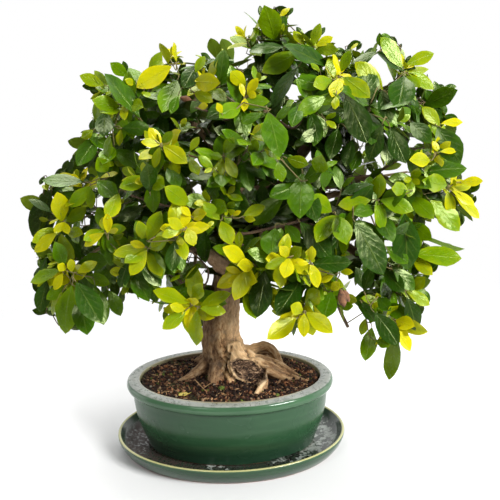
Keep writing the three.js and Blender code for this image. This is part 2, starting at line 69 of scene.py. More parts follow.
# Pot, saucer and soil
POT_HALF_LENGTH = 110
POT_HALF_WIDTH = 80.5
LONGER_BY = POT_HALF_LENGTH - POT_HALF_WIDTH
RIM_TOP = 79
FOOT_BOTTOM = 5.5
FLOOR_TOP = 18
RIM_BAND = 14
SAUCER_HALF_LENGTH = 122.5
SAUCER_LIP = 18.6
SAUCER_FLOOR = 5.15
DRAIN_RADIUS = 7
DRAIN_OFFSET = 42
# The cuts in the pot's foot ring: their directions in degrees, their size and the ring's size
FOOT_NOTCHES = (-50, 70, 190)
FOOT_NOTCH_LENGTH = 34
FOOT_NOTCH_HEIGHT = 6
FOOT_RING_HALF_LENGTH = 84
FOOT_RING_HALF_WIDTH = 55
# Clearance between two seated pieces
SEAT_GAP = 0.35
SOIL_TOP = 76.5
SOIL_HALF_LENGTH = 94.15
SOIL_HALF_WIDTH = SOIL_HALF_LENGTH - LONGER_BY
OVAL_STEPS = 192
SOIL_RISE = 1.5
CRUMB_COUNT = 5200
FIBRE_COUNT = 150
MOSS_COUNT = 34

# Leaves and twigs
LEAF_LENGTH = 28
LEAF_THICKNESS = 0.4
TWIG_RADIUS = 0.8
STALK_RADIUS = 1.9
FIRST_STATION = 17.8
GOLDEN_LENGTH = 7
LEAN_TO_LIGHT = 0.25
CANOPY_MIDDLE = Vector((20, 10, 240))
BLADE_RATIO = 0.5
FACE_FRONT = -172
LEAF_STALK_RADIUS = 0.42
# How near a corner of the solid model a leaf's tip lies when that model holds the leaf
SAME_PLACE = 0.08
# The cells in which a leaf's neighbours are looked up, and the steps that bring a leaf forward
ROOM_CELL = 9
STEP_FORWARD = 2

# Leaf pairs from the tip of a shoot down: distance from the tip, share of LEAF_LENGTH, angle in
# degrees and age, which runs from 0 for golden to 1 for the darkest green
LEAF_PAIRS = [(1.5, 0.4, 28, 0.22), (4, 0.6, 42, 0.32), (9.5, 0.9, 46, 0.48), (17, 1, 66, 0.62)]
OLDER_PAIRS = [(25.5, 1.02, 72, 0.78), (34.5, 1.05, 78, 0.88), (44, 1, 82, 0.95)]
SIDE_PAIRS = [(1.5, 0.36, 28, 0.2), (4, 0.56, 42, 0.34), (9, 0.82, 52, 0.52), (15, 0.94, 64, 0.66)]

# Trunk, roots and limbs: x, y, z and the radius there
TRUNK = [
    (-2, 14, 44, 22), (-1, 14, 66, 31), (-2, 14, 82, 29), (-6, 14, 98, 24), (-9, 14, 116, 21),
    (-8, 14, 138, 19.5), (-4, 14, 164, 16), (0, 15, 192, 13.5), (4, 15, 226, 12.5), (9, 15, 262, 11),
]
ROOTS = [
    [(16, 0, 96, 10), (34, -6, 90, 9), (50, -6, 83, 8), (66, -6, 75, 6), (79, -9, 69, 3)],
    [
        (8, 24, 95, 9), (22, 30, 92, 7.5), (34, 33, 91, 7.5), (43, 38, 86, 6), (50, 43, 76, 4.5),
        (53, 46, 67, 3),
    ],
    [(16, -2, 80, 10), (30, -14, 80, 7), (36, -26, 79, 5), (32, -39, 76, 3.8), (27, -46, 69, 2.8)],
    [(10, -8, 84, 8), (20, -18, 81, 5), (27, -23, 77, 3.5), (31, -27, 70, 3)],
    [(-10, 0, 90, 10), (-16, -12, 82, 7.5), (-18, -20, 75, 5.5), (-18, -26, 66, 4)],
    [(4, -4, 88, 9), (2, -14, 80, 6), (2, -20, 72, 4)],
    [(-22, 8, 88, 9), (-38, 0, 80, 5.5), (-50, -6, 75, 3.5), (-58, -9, 68, 2.5)],
    [(-16, 28, 90, 10), (-32, 40, 80, 6), (-44, 48, 70, 3.5)],
    [(4, 34, 88, 9), (10, 46, 80, 6), (14, 54, 70, 4)],
]
# Fine roots and the ridges that lie on the thick ones, given in the same way
FINE_ROOTS = [
    [(2, 1, 112, 9), (6, -6, 104, 10), (13, -9.5, 97, 10.5), (22, -10.5, 89, 11), (32, -10, 81, 9)],
    [(28, -1, 97, 5), (42, 0, 93, 4.6), (56, -1, 87, 4), (68, -4, 80, 3), (76, -8, 75, 2)],
    [(38, -13, 88, 4.4), (50, -14, 83, 4), (62, -14, 78, 3.2), (70, -15, 74, 2)],
    [
        (18, 20, 96, 6), (30, 24, 99, 5.5), (40, 24, 100.5, 5.5), (48, 20, 96, 5), (53, 15, 87, 4.2),
        (55, 11, 77, 3),
    ],
    [(35, -22, 87, 4.4), (34, -31, 83, 3.6), (31, -40, 79.5, 3), (26, -48, 77, 2.4)],
    [(24, -19, 86, 4.2), (27, -25, 82, 3.4), (30, -28, 79.5, 2.6)],
    [(62, -7, 79, 3.4), (73, -13, 78, 2.2), (84, -19, 77, 1.4)],
    [(-40, -4, 80, 3.6), (-50, -10, 78.5, 2.4), (-57, -15, 77, 1.5)],
]
# Cracks between the roots, as lines in the photograph's pixels
CREVICES = [
    [(246, 351), (250, 357), (258, 355), (270, 355), (276, 362)],
    [(243, 354), (250, 358), (257, 363), (264, 371)],
    [(231, 346), (229, 354), (228, 365), (231, 376)],
]
CREVICE_WIDTH = 2.2
CREVICE_DEPTH = 2
CREVICE_TOP = 115
CREVICE_FOOT = 74
# The cut end of a thick root
SCAR_MIDDLE = Vector((18.8, -17.5, 90))
SCAR_FACING = Vector((0.2, -0.93, 0.3)).normalized()
SCAR_ACROSS = Vector((0.85, 0.02, -0.5)).cross(SCAR_FACING).normalized()
SCAR_TURN = Matrix((SCAR_ACROSS, SCAR_FACING.cross(SCAR_ACROSS), SCAR_FACING)).transposed()
SCAR_HALF_LENGTH = 19.5
SCAR_HALF_WIDTH = 11.2
SCAR_LIP = 2
SCAR_DEPTH = 6
SCAR_LIP_SET_BACK = 2.5
# How finely the wood is fused, and how many times it is smoothed, for itself and for its furrows
WOOD_VOXEL = 1.2
BARK_SMOOTHING = 3
FURROW_SMOOTHING = 16
# Limbs, given as the trunk is
LIMBS = {
    "leader": [(9, 15, 254, 9.5), (1, 18, 290, 8), (12, 14, 328, 6.5), (24, 8, 360, 5), (34, 4, 388, 3.2)],
    "right_high": [
        (7, 15, 256, 10.5), (42, 9, 274, 9), (84, 2, 280, 7.5), (120, -8, 284, 5.5), (156, -14, 290, 3.4),
    ],
    "right_low": [
        (2, 14, 206, 9.5), (40, 8, 230, 8), (82, -2, 236, 6.5), (118, -14, 222, 4.8), (142, -24, 204, 3.2),
    ],
    "left_low": [
        (-6, 14, 150, 10), (-32, 8, 170, 8), (-62, -2, 202, 6.5), (-94, -12, 220, 5), (-122, -18, 226, 3.2),
    ],
    "left_high": [(3, 15, 226, 9.5), (-32, 6, 262, 7.5), (-64, -6, 286, 5.5), (-92, -14, 304, 3.2)],
    "front_left": [(-2, 10, 192, 9), (-18, -20, 216, 6), (-38, -54, 232, 4.4), (-48, -72, 238, 3)],
    "front_right": [(4, 10, 222, 8.5), (18, -22, 238, 6), (28, -54, 250, 4.4), (34, -76, 256, 3)],
    "back_middle": [(4, 18, 232, 9), (14, 52, 256, 7), (24, 84, 276, 5), (28, 104, 286, 3.2)],
    "back_left": [(-2, 18, 206, 9), (-34, 44, 234, 6.5), (-68, 66, 254, 5), (-98, 78, 262, 3.2)],
    "back_right": [(4, 18, 216, 9), (46, 42, 238, 6.5), (92, 62, 254, 5), (134, 72, 262, 3.2)],
    "crown_right": [(56, 7, 276, 6.5), (78, 4, 312, 5.5), (104, -4, 344, 4.4), (128, -10, 362, 3.2)],
    "crown_left": [(4, 17, 304, 6.5), (-24, 8, 338, 5), (-52, -4, 360, 3.2)],
    "crown_back": [(12, 15, 326, 6), (24, 36, 352, 4.6), (30, 46, 370, 3.2)],
}

# Sprays: the limb, how far along it, the fork, the age that its leaves gain, and its shoots. A
# shoot is the x, y, z of its tip, the turn of its leaf pairs in degrees, the size of its leaves,
# and 1 where it ends in golden leaves
SPRAYS = {
    "crown_peak": ("leader", 1, (38, 2, 404), 0, [
        (47, 0, 434, 20, 1.15, 0), (22, -20, 424, 60, 1, 1), (74, -14, 420, 10, 1.05, 0),
    ]),
    "crown_front": ("crown_right", 0.55, (74, -46, 376), -0.05, [
        (89, -42, 412, 30, 1.15, 0), (103, -84, 387, 0, 0.9, 1), (80, -114, 366, 45, 1, 0),
    ]),
    "crown_middle": ("leader", 0.6, (-2, -40, 374), -0.02, [
        (-1, -24, 409, 0, 1.15, 0), (-14, -76, 386, 70, 1, 1), (22, -112, 366, 30, 1.05, 0),
    ]),
    "shoulder_left": ("crown_left", 1, (-70, -14, 374), -0.12, [
        (-46, -12, 408, 0, 0.95, 1), (-64, -44, 394, 80, 1.1, 0), (-84, -74, 366, 20, 1, 0),
        (-112, -22, 376, 50, 1.1, 0),
    ]),
    "left_upper": ("left_high", 1, (-108, -18, 318), 0, [
        (-136, -12, 326, 0, 1, 0), (-120, 20, 350, 40, 1, 0), (-94, -74, 332, 80, 1.05, 0),
    ]),
    "left_face": ("left_high", 0.6, (-46, -58, 318), -0.1, [
        (-50, -100, 332, 45, 1, 1), (-62, -112, 304, 10, 1.1, 0),
    ]),
    "left_edge": ("left_low", 0.82, (-122, -28, 262), -0.12, [
        (-130, -60, 298, 0, 1, 1), (-154, -54, 262, 60, 1.1, 0), (-188, 8, 262, 20, 1.1, 0),
        (-102, -98, 258, 30, 0.9, 0),
    ]),
    "left_skirt": ("left_low", 1, (-140, -26, 216), -0.05, [
        (-150, -64, 213, 30, 1.2, 1), (-180, -18, 222, 0, 1, 0), (-176, 2, 168, 60, 1.1, 0),
    ]),
    "left_front": ("front_left", 1, (-58, -88, 244), -0.15, [
        (-64, -126, 250, 45, 1.05, 0), (-28, -136, 268, 20, 0.95, 1), (-88, -106, 222, 70, 1, 0),
    ]),
    "low_front": ("front_left", 0.6, (-28, -80, 206), -0.1, [
        (-29, -116, 192, 15, 1.2, 1), (-62, -80, 192, 50, 1, 0),
    ]),
    "centre_face": ("front_right", 0.75, (2, -76, 292), -0.05, [
        (4, -120, 326, 20, 1, 0), (28, -132, 342, 60, 1.05, 0), (-12, -114, 284, 0, 1, 0),
    ]),
    "centre_low": ("front_right", 1, (34, -90, 236), -0.15, [
        (14, -122, 222, 30, 1.1, 1), (54, -150, 242, 0, 0.95, 1), (38, -96, 192, 60, 1.2, 0),
    ]),
    "right_face_low": ("right_low", 0.7, (82, -68, 206), -0.15, [
        (66, -112, 184, 40, 1.1, 1), (84, -120, 218, 0, 1, 0), (112, -64, 182, 70, 1, 0),
    ]),
    "right_face": ("right_high", 0.55, (84, -62, 284), 0.2, [
        (112, -116, 264, 0, 1.5, 0), (66, -130, 304, 45, 1.3, 0),
    ]),
    "crown_fall": ("crown_right", 0.8, (122, -54, 344), 0.15, [
        (128, -102, 366, 10, 1.35, 0), (158, -72, 346, 60, 1.2, 0),
    ]),
    "crown_right": ("crown_right", 1, (150, -12, 372), 0.05, [
        (170, -32, 392, 20, 1.05, 1), (136, 2, 404, 60, 1, 0), (208, 0, 360, 0, 1.1, 0),
    ]),
    "shoulder_right": ("right_high", 0.9, (180, -24, 314), 0.02, [
        (191, -74, 318, 20, 1, 1), (218, 18, 324, 50, 1.15, 0), (168, -84, 296, 0, 1, 0),
    ]),
    "right_edge": ("right_high", 1, (190, -22, 268), -0.02, [
        (214, -52, 286, 20, 1.05, 1), (234, -18, 262, 60, 1, 0), (170, -62, 250, 0, 1.35, 0),
        (196, -26, 216, 30, 1.4, 0),
    ]),
    "right_middle": ("right_high", 0.72, (134, -66, 264), 0.1, [
        (134, -112, 280, 40, 1.05, 0), (148, -96, 232, 10, 1.2, 0),
    ]),
    "right_skirt": ("right_low", 1, (152, -44, 194), -0.1, [
        (172, -66, 188, 0, 1, 0), (160, -82, 158, 40, 1.25, 1), (188, -10, 176, 60, 1, 0),
    ]),
    "crown_rear": ("crown_back", 1, (34, 58, 384), 0.05, [
        (60, 82, 408, 40, 1.15, 0), (4, 78, 408, 20, 1.15, 0),
    ]),
    "rear_left_crown": ("crown_left", 0.7, (-54, 56, 346), 0.05, [
        (-84, 82, 366, 50, 1.15, 0), (-40, 106, 352, 20, 1.15, 0),
    ]),
    "rear_right_crown": ("crown_right", 0.65, (112, 54, 350), 0.05, [
        (146, 80, 366, 50, 1.15, 0), (98, 108, 352, 20, 1.15, 0),
    ]),
    "rear_middle": ("back_middle", 1, (30, 118, 300), 0.05, [
        (2, 142, 316, 40, 1.15, 0), (58, 144, 312, 20, 1.15, 0),
    ]),
    "rear_low": ("back_middle", 0.7, (20, 98, 236), 0.05, [
        (-12, 132, 218, 40, 1.15, 0), (50, 134, 216, 20, 1.15, 0),
    ]),
    "rear_left": ("back_left", 1, (-114, 86, 268), 0, [
        (-142, 100, 286, 0, 1.15, 0), (-104, 128, 258, 20, 1.15, 0),
    ]),
    "rear_left_low": ("back_left", 0.8, (-92, 62, 212), 0, [
        (-104, 92, 188, 0, 1.1, 0), (-130, 58, 196, 40, 1.1, 0),
    ]),
    "rear_right": ("back_right", 1, (150, 82, 270), 0, [
        (180, 98, 288, 0, 1.15, 0), (138, 130, 260, 20, 1.15, 0),
    ]),
    "rear_right_low": ("back_right", 0.75, (116, 64, 212), 0, [
        (128, 96, 188, 0, 1.1, 0), (154, 58, 192, 40, 1.1, 0),
    ]),
    "side_left": ("left_low", 0.68, (-142, 34, 238), -0.05, [
        (-170, 48, 240, 0, 1.15, 0),
    ]),
    "side_right": ("right_high", 0.82, (192, 44, 286), -0.05, [
        (224, 54, 288, 0, 1.15, 0),
    ]),
}

# Leaves that show on the face of the crown. Each is given as the photograph shows it, in pixels:
# where its foot and its tip are and how wide it looks. Then come the depth y in millimetres at
# which it hangs, and its age. The groups are the pieces that carry them.
ShownLeaf = namedtuple("ShownLeaf", "foot_x foot_y tip_x tip_y width depth age")
SHOWN_LEAVES = {
    "left_skirt": [
        (84, 182, 42, 180, 13, -45, 0.75), (62, 222, 57, 191, 18, -55, 0.12),
        (66, 222, 87, 207, 13, -45, 0.35), (90, 186, 70, 207, 14, -50, 0.4),
        (90, 186, 91, 209, 10, -50, 0.4), (52, 213, 29, 199, 8, -20, 0.8),
        (50, 190, 36, 240, 26, 0, 0.95), (57, 233, 34, 252, 12, -70, 0.12),
        (58, 228, 36, 240, 14, -55, 0.3), (66, 231, 84, 234, 12, -60, 0.3),
        (64, 222, 56, 231, 8, -65, 0.1), (64, 222, 68, 233, 8, -65, 0.1),
        (64, 266, 54, 241, 15, -75, 0.6), (77, 272, 97, 262, 11, -80, 0.2),
        (72, 272, 70, 258, 9, -82, 0.15), (66, 270, 58, 265, 9, -85, 0.05),
        (63, 273, 54, 290, 9, -80, 0.08), (61, 270, 30, 282, 12, -60, 0.4),
        (47, 280, 40, 310, 16, -45, 0.9), (72, 285, 65, 334, 22, -85, 0.45),
        (76, 282, 99, 320, 24, -100, 0.8), (95, 285, 103, 321, 20, -85, 0.65),
        (80, 295, 86, 328, 22, -80, 0.75), (108, 290, 121, 316, 14, -70, 0.6),
        (84, 276, 110, 284, 13, -75, 0.5), (62, 292, 52, 315, 8, -70, 0.3),
        (66, 285, 47, 299, 12, -65, 0.45), (119, 193, 109, 215, 16, -80, 0.28),
        (108, 233, 107, 213, 10, -85, 0.06), (104, 233, 84, 246, 10, -85, 0.08),
        (110, 232, 119, 229, 6, -85, 0.08), (107, 236, 116, 253, 11, -80, 0.5),
        (143, 207, 117, 220, 14, -60, 0.9), (146, 241, 138, 220, 12, -100, 0.28),
        (147, 240, 161, 211, 16, -105, 0.3), (146, 247, 130, 242, 8, -105, 0.06),
        (144, 248, 113, 254, 13, -95, 0.25), (147, 250, 132, 273, 15, -105, 0.2),
        (148, 252, 160, 274, 15, -105, 0.28), (151, 247, 164, 236, 9, -105, 0.25),
        (140, 262, 161, 286, 16, -75, 0.85), (128, 262, 120, 288, 13, -65, 0.85),
        (135, 270, 147, 297, 20, -55, 0.7), (150, 285, 156, 301, 10, -50, 0.8),
    ],
    "left_upper": [
        (104, 85, 81, 76, 12, -20, 0.3), (120, 108, 95, 101, 15, -50, 0.4),
        (101, 92, 96, 122, 10, -30, 0.4), (140, 118, 105, 73, 18, -60, 0.7),
        (128, 76, 112, 64, 12, -15, 0.5), (136, 84, 126, 80, 7, -50, 0.2),
        (172, 66, 137, 87, 20, -60, 0.08), (177, 80, 163, 110, 22, -60, 0.5),
        (196, 66, 184, 87, 17, -40, 0.95), (193, 82, 220, 83, 18, -80, 0.12),
        (150, 192, 147, 163, 18, -110, 0.9), (122, 128, 151, 128, 15, -70, 0.7),
        (121, 129, 119, 146, 7, -70, 0.25), (105, 112, 104, 135, 18, -40, 0.95),
        (98, 136, 79, 163, 18, -30, 0.7), (93, 130, 83, 137, 9, -35, 0.3),
        (110, 134, 106, 160, 9, -45, 0.45), (107, 172, 98, 158, 15, -50, 0.4),
        (100, 178, 118, 173, 5, -70, 0.08), (97, 181, 117, 197, 18, -75, 0.55),
        (161, 144, 142, 142, 10, -110, 0.1), (160, 147, 154, 168, 9, -110, 0.25),
        (163, 146, 187, 163, 17, -112, 0.2), (162, 143, 173, 131, 9, -108, 0.4),
        (155, 140, 149, 134, 4, -110, 0.05), (178, 96, 171, 113, 10, -80, 0.6),
        (194, 92, 213, 102, 12, -80, 0.25), (198, 107, 208, 105, 7, -100, 0.03),
        (222, 113, 217, 103, 7, -100, 0.03), (190, 151, 199, 137, 8, -100, 0.3),
        (190, 158, 198, 174, 11, -105, 0.3), (209, 155, 222, 157, 8, -105, 0.4),
        (223, 158, 216, 180, 12, -115, 0.3), (226, 157, 236, 177, 12, -118, 0.28),
        (224, 153, 234, 137, 12, -112, 0.4), (190, 205, 165, 187, 18, -110, 0.3),
    ],
    "crown": [
        (275, 40, 265, 8, 22, -15, 0.45), (279, 17, 290, 8, 5, -10, 0.05),
        (259, 29, 252, 45, 4, -20, 0.4), (284, 47, 249, 51, 11, -45, 0.85),
        (333, 68, 284, 44, 14, -50, 0.75), (298, 52, 262, 72, 20, -40, 0.4),
        (305, 45, 293, 31, 8, -40, 0.25), (312, 47, 320, 23, 10, -30, 0.3),
        (316, 46, 333, 37, 9, -35, 0.15), (315, 50, 337, 50, 12, -35, 0.35),
        (340, 76, 333, 54, 5, -90, 0), (341, 72, 350, 51, 11, -80, 0.4), (350, 50, 358, 43, 3, -80, 0.1),
        (405, 72, 377, 52, 10, -10, 0.85), (377, 52, 352, 64, 9, -12, 0.85),
        (343, 77, 368, 96, 18, -95, 0.3), (383, 90, 355, 62, 18, -70, 0.25),
        (332, 80, 313, 86, 15, -90, 0.35), (327, 97, 297, 112, 17, -100, 0.5),
        (330, 85, 293, 82, 16, -85, 0.6), (340, 78, 332, 97, 14, -98, 0.12),
        (336, 96, 335, 109, 8, -98, 0.2), (345, 95, 366, 141, 26, -110, 0.95),
        (298, 67, 272, 108, 14, -60, 0.85), (268, 112, 279, 154, 26, -130, 0.6),
        (263, 113, 241, 123, 10, -115, 0.6), (244, 97, 240, 83, 6, -100, 0.05),
        (245, 98, 244, 111, 8, -100, 0.05), (247, 95, 258, 78, 10, -100, 0.06),
        (248, 92, 256, 97, 8, -100, 0.06), (246, 86, 231, 72, 14, -95, 0.15),
        (220, 82, 224, 49, 15, -50, 0.7),
        (195, 73, 205, 56, 9, -50, 0.35), (176, 62, 174, 42, 4, -40, 0.08),
        (262, 36, 253, 28, 6, -12, 0.4), (300, 105, 292, 126, 15, -70, 0.7),
        (282, 84, 276, 110, 14, -55, 0.9), (310, 112, 318, 142, 16, -85, 0.75),
        (338, 128, 330, 158, 17, -90, 0.8), (352, 140, 346, 166, 14, -88, 0.85),
        (322, 130, 300, 140, 13, -80, 0.85), (360, 150, 352, 170, 12, -70, 0.7),
    ],
    "right_crown": [
        (402, 68, 381, 37, 15, -20, 0.4), (406, 65, 434, 53, 13, -30, 0.3),
        (408, 72, 434, 89, 12, -35, 0.35), (406, 73, 419, 86, 10, -35, 0.35),
        (404, 76, 398, 108, 26, -60, 0.8), (381, 90, 390, 121, 17, -85, 0.9),
        (370, 108, 398, 127, 13, -80, 0.6), (382, 125, 369, 161, 18, -100, 0.95),
        (390, 128, 405, 161, 19, -95, 0.9), (410, 122, 428, 140, 17, -70, 0.8),
        (424, 106, 453, 92, 18, -10, 0.65), (440, 126, 422, 107, 12, -60, 0.3),
        (441, 124, 463, 122, 8, -50, 0.03), (437, 127, 457, 158, 24, -30, 0.75),
        (437, 155, 450, 142, 9, -75, 0.12), (440, 152, 457, 151, 6, -75, 0.08),
        (440, 152, 432, 141, 6, -75, 0.08), (430, 160, 408, 160, 15, -90, 0.15),
        (425, 172, 467, 168, 17, -60, 0.7), (461, 182, 481, 181, 10, -20, 0.03),
        (452, 191, 475, 204, 9, -20, 0.06), (455, 196, 480, 218, 11, -15, 0.1),
        (447, 190, 452, 215, 11, -35, 0.2), (447, 185, 420, 180, 18, -60, 0.35),
        (430, 200, 460, 231, 20, -45, 0.38), (410, 196, 430, 215, 17, -60, 0.4),
        (405, 213, 408, 270, 28, -60, 0.8), (380, 200, 412, 210, 17, -85, 0.42),
        (376, 200, 383, 230, 13, -80, 0.4), (378, 199, 381, 173, 14, -90, 0.35),
        (371, 200, 338, 205, 16, -90, 0.33), (408, 190, 390, 188, 14, -75, 0.35),
    ],
    "right_skirt": [
        (355, 222, 384, 275, 28, -120, 0.88), (413, 254, 462, 258, 20, -60, 0.4),
        (412, 258, 429, 272, 13, -55, 0.2), (392, 267, 415, 290, 15, -75, 0.7),
        (383, 270, 400, 288, 16, -70, 0.8), (413, 290, 425, 277, 12, -50, 0.25),
        (406, 291, 430, 305, 12, -45, 0.3), (407, 297, 417, 331, 17, -50, 0.95),
        (396, 320, 411, 325, 15, -80, 0.05), (397, 330, 411, 351, 11, -82, 0.03),
        (398, 332, 388, 380, 17, -85, 0.5), (374, 312, 395, 341, 20, -85, 0.85),
        (372, 327, 366, 356, 17, -75, 0.5), (376, 340, 387, 345, 10, -72, 0.5),
        (366, 318, 361, 335, 9, -70, 0.3), (362, 303, 372, 318, 12, -75, 0.85),
        (378, 297, 388, 308, 13, -70, 0.7), (364, 290, 356, 267, 10, -95, 0.9),
        (364, 292, 372, 267, 12, -95, 0.9), (338, 306, 352, 306, 10, -90, 0.4),
        (331, 290, 340, 282, 10, -90, 0.05),
    ],
    "centre": [
        (318, 174, 322, 155, 18, -95, 0.45), (287, 158, 307, 164, 13, -110, 0.35),
        (278, 162, 282, 180, 13, -105, 0.45), (302, 173, 300, 213, 27, -110, 0.62),
        (332, 212, 308, 195, 18, -105, 0.38), (233, 215, 241, 211, 5, -118, 0),
        (243, 216, 265, 206, 12, -118, 0.28), (244, 218, 255, 220, 7, -118, 0.2),
        (285, 195, 253, 225, 20, -95, 0.55), (335, 215, 318, 240, 20, -115, 0.38),
        (336, 215, 345, 240, 20, -115, 0.38), (352, 210, 342, 255, 5, -112, 0.5),
        (300, 222, 328, 256, 24, -110, 0.8), (275, 228, 272, 252, 24, -110, 0.6),
        (285, 225, 298, 240, 14, -108, 0.6), (288, 257, 279, 245, 11, -150, 0.05),
        (289, 258, 285, 275, 15, -150, 0.06), (290, 258, 302, 247, 13, -145, 0.3),
        (287, 258, 265, 268, 11, -145, 0.3), (311, 262, 312, 245, 9, -140, 0.12),
        (310, 263, 318, 288, 12, -140, 0.1), (309, 264, 297, 262, 6, -140, 0),
        (312, 264, 352, 262, 17, -130, 0.85), (334, 275, 320, 282, 7, -125, 0.05),
        (340, 272, 352, 272, 7, -125, 0.15), (250, 268, 236, 297, 18, -115, 0.15),
        (265, 270, 258, 312, 24, -110, 0.95), (245, 290, 254, 314, 17, -100, 0.4),
        (246, 262, 222, 247, 17, -130, 0.05), (254, 265, 238, 265, 14, -130, 0.05),
        (300, 280, 280, 310, 24, -105, 0.9), (305, 305, 320, 290, 18, -110, 0.25),
        (332, 292, 325, 314, 20, -100, 0.6), (303, 312, 290, 305, 14, -130, 0.2),
        (304, 313, 304, 334, 12, -140, 0.08), (306, 312, 329, 330, 17, -135, 0.12),
        (296, 318, 270, 337, 19, -120, 0.12), (298, 318, 293, 336, 4, -118, 0.6),
    ],
    "left_front": [
        (191, 216, 180, 207, 8, -128, 0.02), (191, 217, 207, 213, 13, -128, 0.08),
        (183, 230, 168, 218, 12, -125, 0.12), (187, 228, 202, 232, 8, -128, 0.04),
        (187, 228, 193, 244, 13, -130, 0.15), (178, 238, 182, 245, 8, -125, 0.15),
        (180, 230, 163, 236, 10, -122, 0.25), (155, 237, 178, 227, 5, -120, 0.3),
        (175, 240, 172, 269, 16, -90, 0.8), (220, 220, 203, 202, 13, -112, 0.35),
        (221, 221, 230, 242, 16, -118, 0.25), (205, 228, 205, 263, 15, -90, 0.85),
        (190, 303, 153, 290, 15, -120, 0.28), (185, 310, 170, 305, 10, -125, 0.1),
        (194, 300, 202, 281, 14, -120, 0.3), (193, 305, 196, 297, 9, -130, 0.03),
        (200, 306, 231, 293, 13, -120, 0.28), (200, 308, 226, 312, 13, -122, 0.3),
        (197, 310, 196, 346, 15, -125, 0.28), (186, 310, 165, 327, 15, -118, 0.32),
    ],
}

# The crown's outline in the photograph, in pixels
CROWN_OUTLINE = [
    (36, 242), (31, 206), (46, 180), (68, 160), (84, 132), (95, 102), (86, 80), (112, 68), (140, 72),
    (172, 62), (200, 64), (216, 54), (232, 76), (252, 58), (258, 24), (268, 10), (284, 14), (300, 36),
    (322, 28), (340, 48), (370, 58), (384, 42), (404, 62), (430, 58), (424, 86), (450, 94), (448, 112),
    (460, 126), (454, 150), (464, 170), (478, 182), (474, 214), (456, 228), (430, 222), (420, 246),
    (428, 272), (424, 300), (418, 330), (408, 346), (392, 372), (384, 346), (364, 350), (358, 322),
    (344, 318), (330, 306), (324, 326), (300, 328), (276, 332), (280, 306), (254, 312), (238, 294),
    (228, 310), (198, 342), (170, 324), (158, 302), (128, 292), (118, 312), (100, 318), (84, 326),
    (62, 328), (46, 308), (34, 284),
]
# The gaps that the backdrop shows through, each with its radius, in pixels. Their middles weren't
# read by eye: a scratch script found them as the white patches inside the crown
SKY_GAPS = [
    (381, 71, 15), (382, 230, 12), (404, 167, 8), (101, 141, 7), (390, 177, 9), (360, 174, 6),
    (201, 276, 6), (306, 155, 5), (211, 259, 6), (165, 284, 5), (332, 193, 5), (83, 220, 6),
    (307, 210, 4), (209, 281, 4), (195, 255, 5), (368, 222, 5), (350, 248, 5), (198, 191, 4),
    (389, 246, 5), (173, 69, 4), (119, 77, 4), (99, 203, 4), (414, 141, 4), (350, 288, 4),
]

# Bare twigs that show between the leaves, in the photograph's pixels: the depth y, the radius in
# millimetres, then the places along the twig
ShownTwig = namedtuple("ShownTwig", "depth radius places")
SHOWN_TWIGS = [
    ShownTwig(-100, 1.3, [(232, 236), (250, 233), (292, 223), (332, 212), (372, 205)]),
    ShownTwig(-85, 1.1, [(294, 128), (270, 114), (247, 100)]),
    ShownTwig(-90, 0.9, [(228, 120), (210, 112), (196, 108)]),
    ShownTwig(-85, 1, [(180, 212), (155, 203), (130, 195)]),
    ShownTwig(-80, 1.6, [(190, 292), (174, 277), (160, 262)]),
    ShownTwig(-90, 0.8, [(205, 285), (208, 270), (190, 250)]),
    ShownTwig(-60, 1.8, [(336, 296), (340, 310), (348, 327)]),
]

# Dried leaves, given as the leaves on the face of the crown are
DEAD_LEAVES = [
    ShownLeaf(340, 288, 344, 303, 9, -112, 1), ShownLeaf(343, 289, 350, 300, 7, -110, 1),
    ShownLeaf(203, 166, 208, 178, 6, -102, 1), ShownLeaf(205, 168, 201, 180, 5, -102, 1),
    ShownLeaf(192, 100, 180, 96, 6, -84, 1),
]

# What has dropped on the soil
DROPPED_LEAF_FOOT = Vector((-38, -43, 76.8))
DROPPED_LEAF_ALONG = Vector((-0.95, -0.25, 0)).normalized()
DROPPED_TWIG = [(-36, -20, 82.2), (-29, -31, 79.6), (-22, -42, 77.6)]


# Shader maths

class Wire:
    """A socket in a shader, used like a number in Python expressions."""

    def __init__(self, finish, socket):
        self.finish = finish
        self.socket = socket

    def sum_with(self, operation, *values):
        return self.finish.node("ShaderNodeMath", {"operation": operation}, dict(enumerate(values)))

    def __add__(self, other):
        return self.sum_with("ADD", self, other)

    def __radd__(self, other):
        return self.sum_with("ADD", other, self)

    def __sub__(self, other):
        return self.sum_with("SUBTRACT", self, other)

    def __rsub__(self, other):
        return self.sum_with("SUBTRACT", other, self)

    def __mul__(self, other):
        return self.sum_with("MULTIPLY", self, other)

    def __rmul__(self, other):
        return self.sum_with("MULTIPLY", other, self)

    def __truediv__(self, other):
        return self.sum_with("DIVIDE", self, other)

    def __pow__(self, other):
        return self.sum_with("POWER", self, other)

    def sine(self):
        return self.sum_with("SINE", self)

    def size(self):
        return self.sum_with("ABSOLUTE", self)

    def most(self, other):
        return self.sum_with("MAXIMUM", self, other)

    def least(self, other):
        return self.sum_with("MINIMUM", self, other)


def shade(red, green, blue):
    """A colour given as 0 to 255 on a screen, as the linear colour that a shader takes."""
    def linear(level):
        level /= 255
        return level / 12.92 if level <= 0.04045 else ((level + 0.055) / 1.055) ** 2.4
    return (linear(red), linear(green), linear(blue), 1)


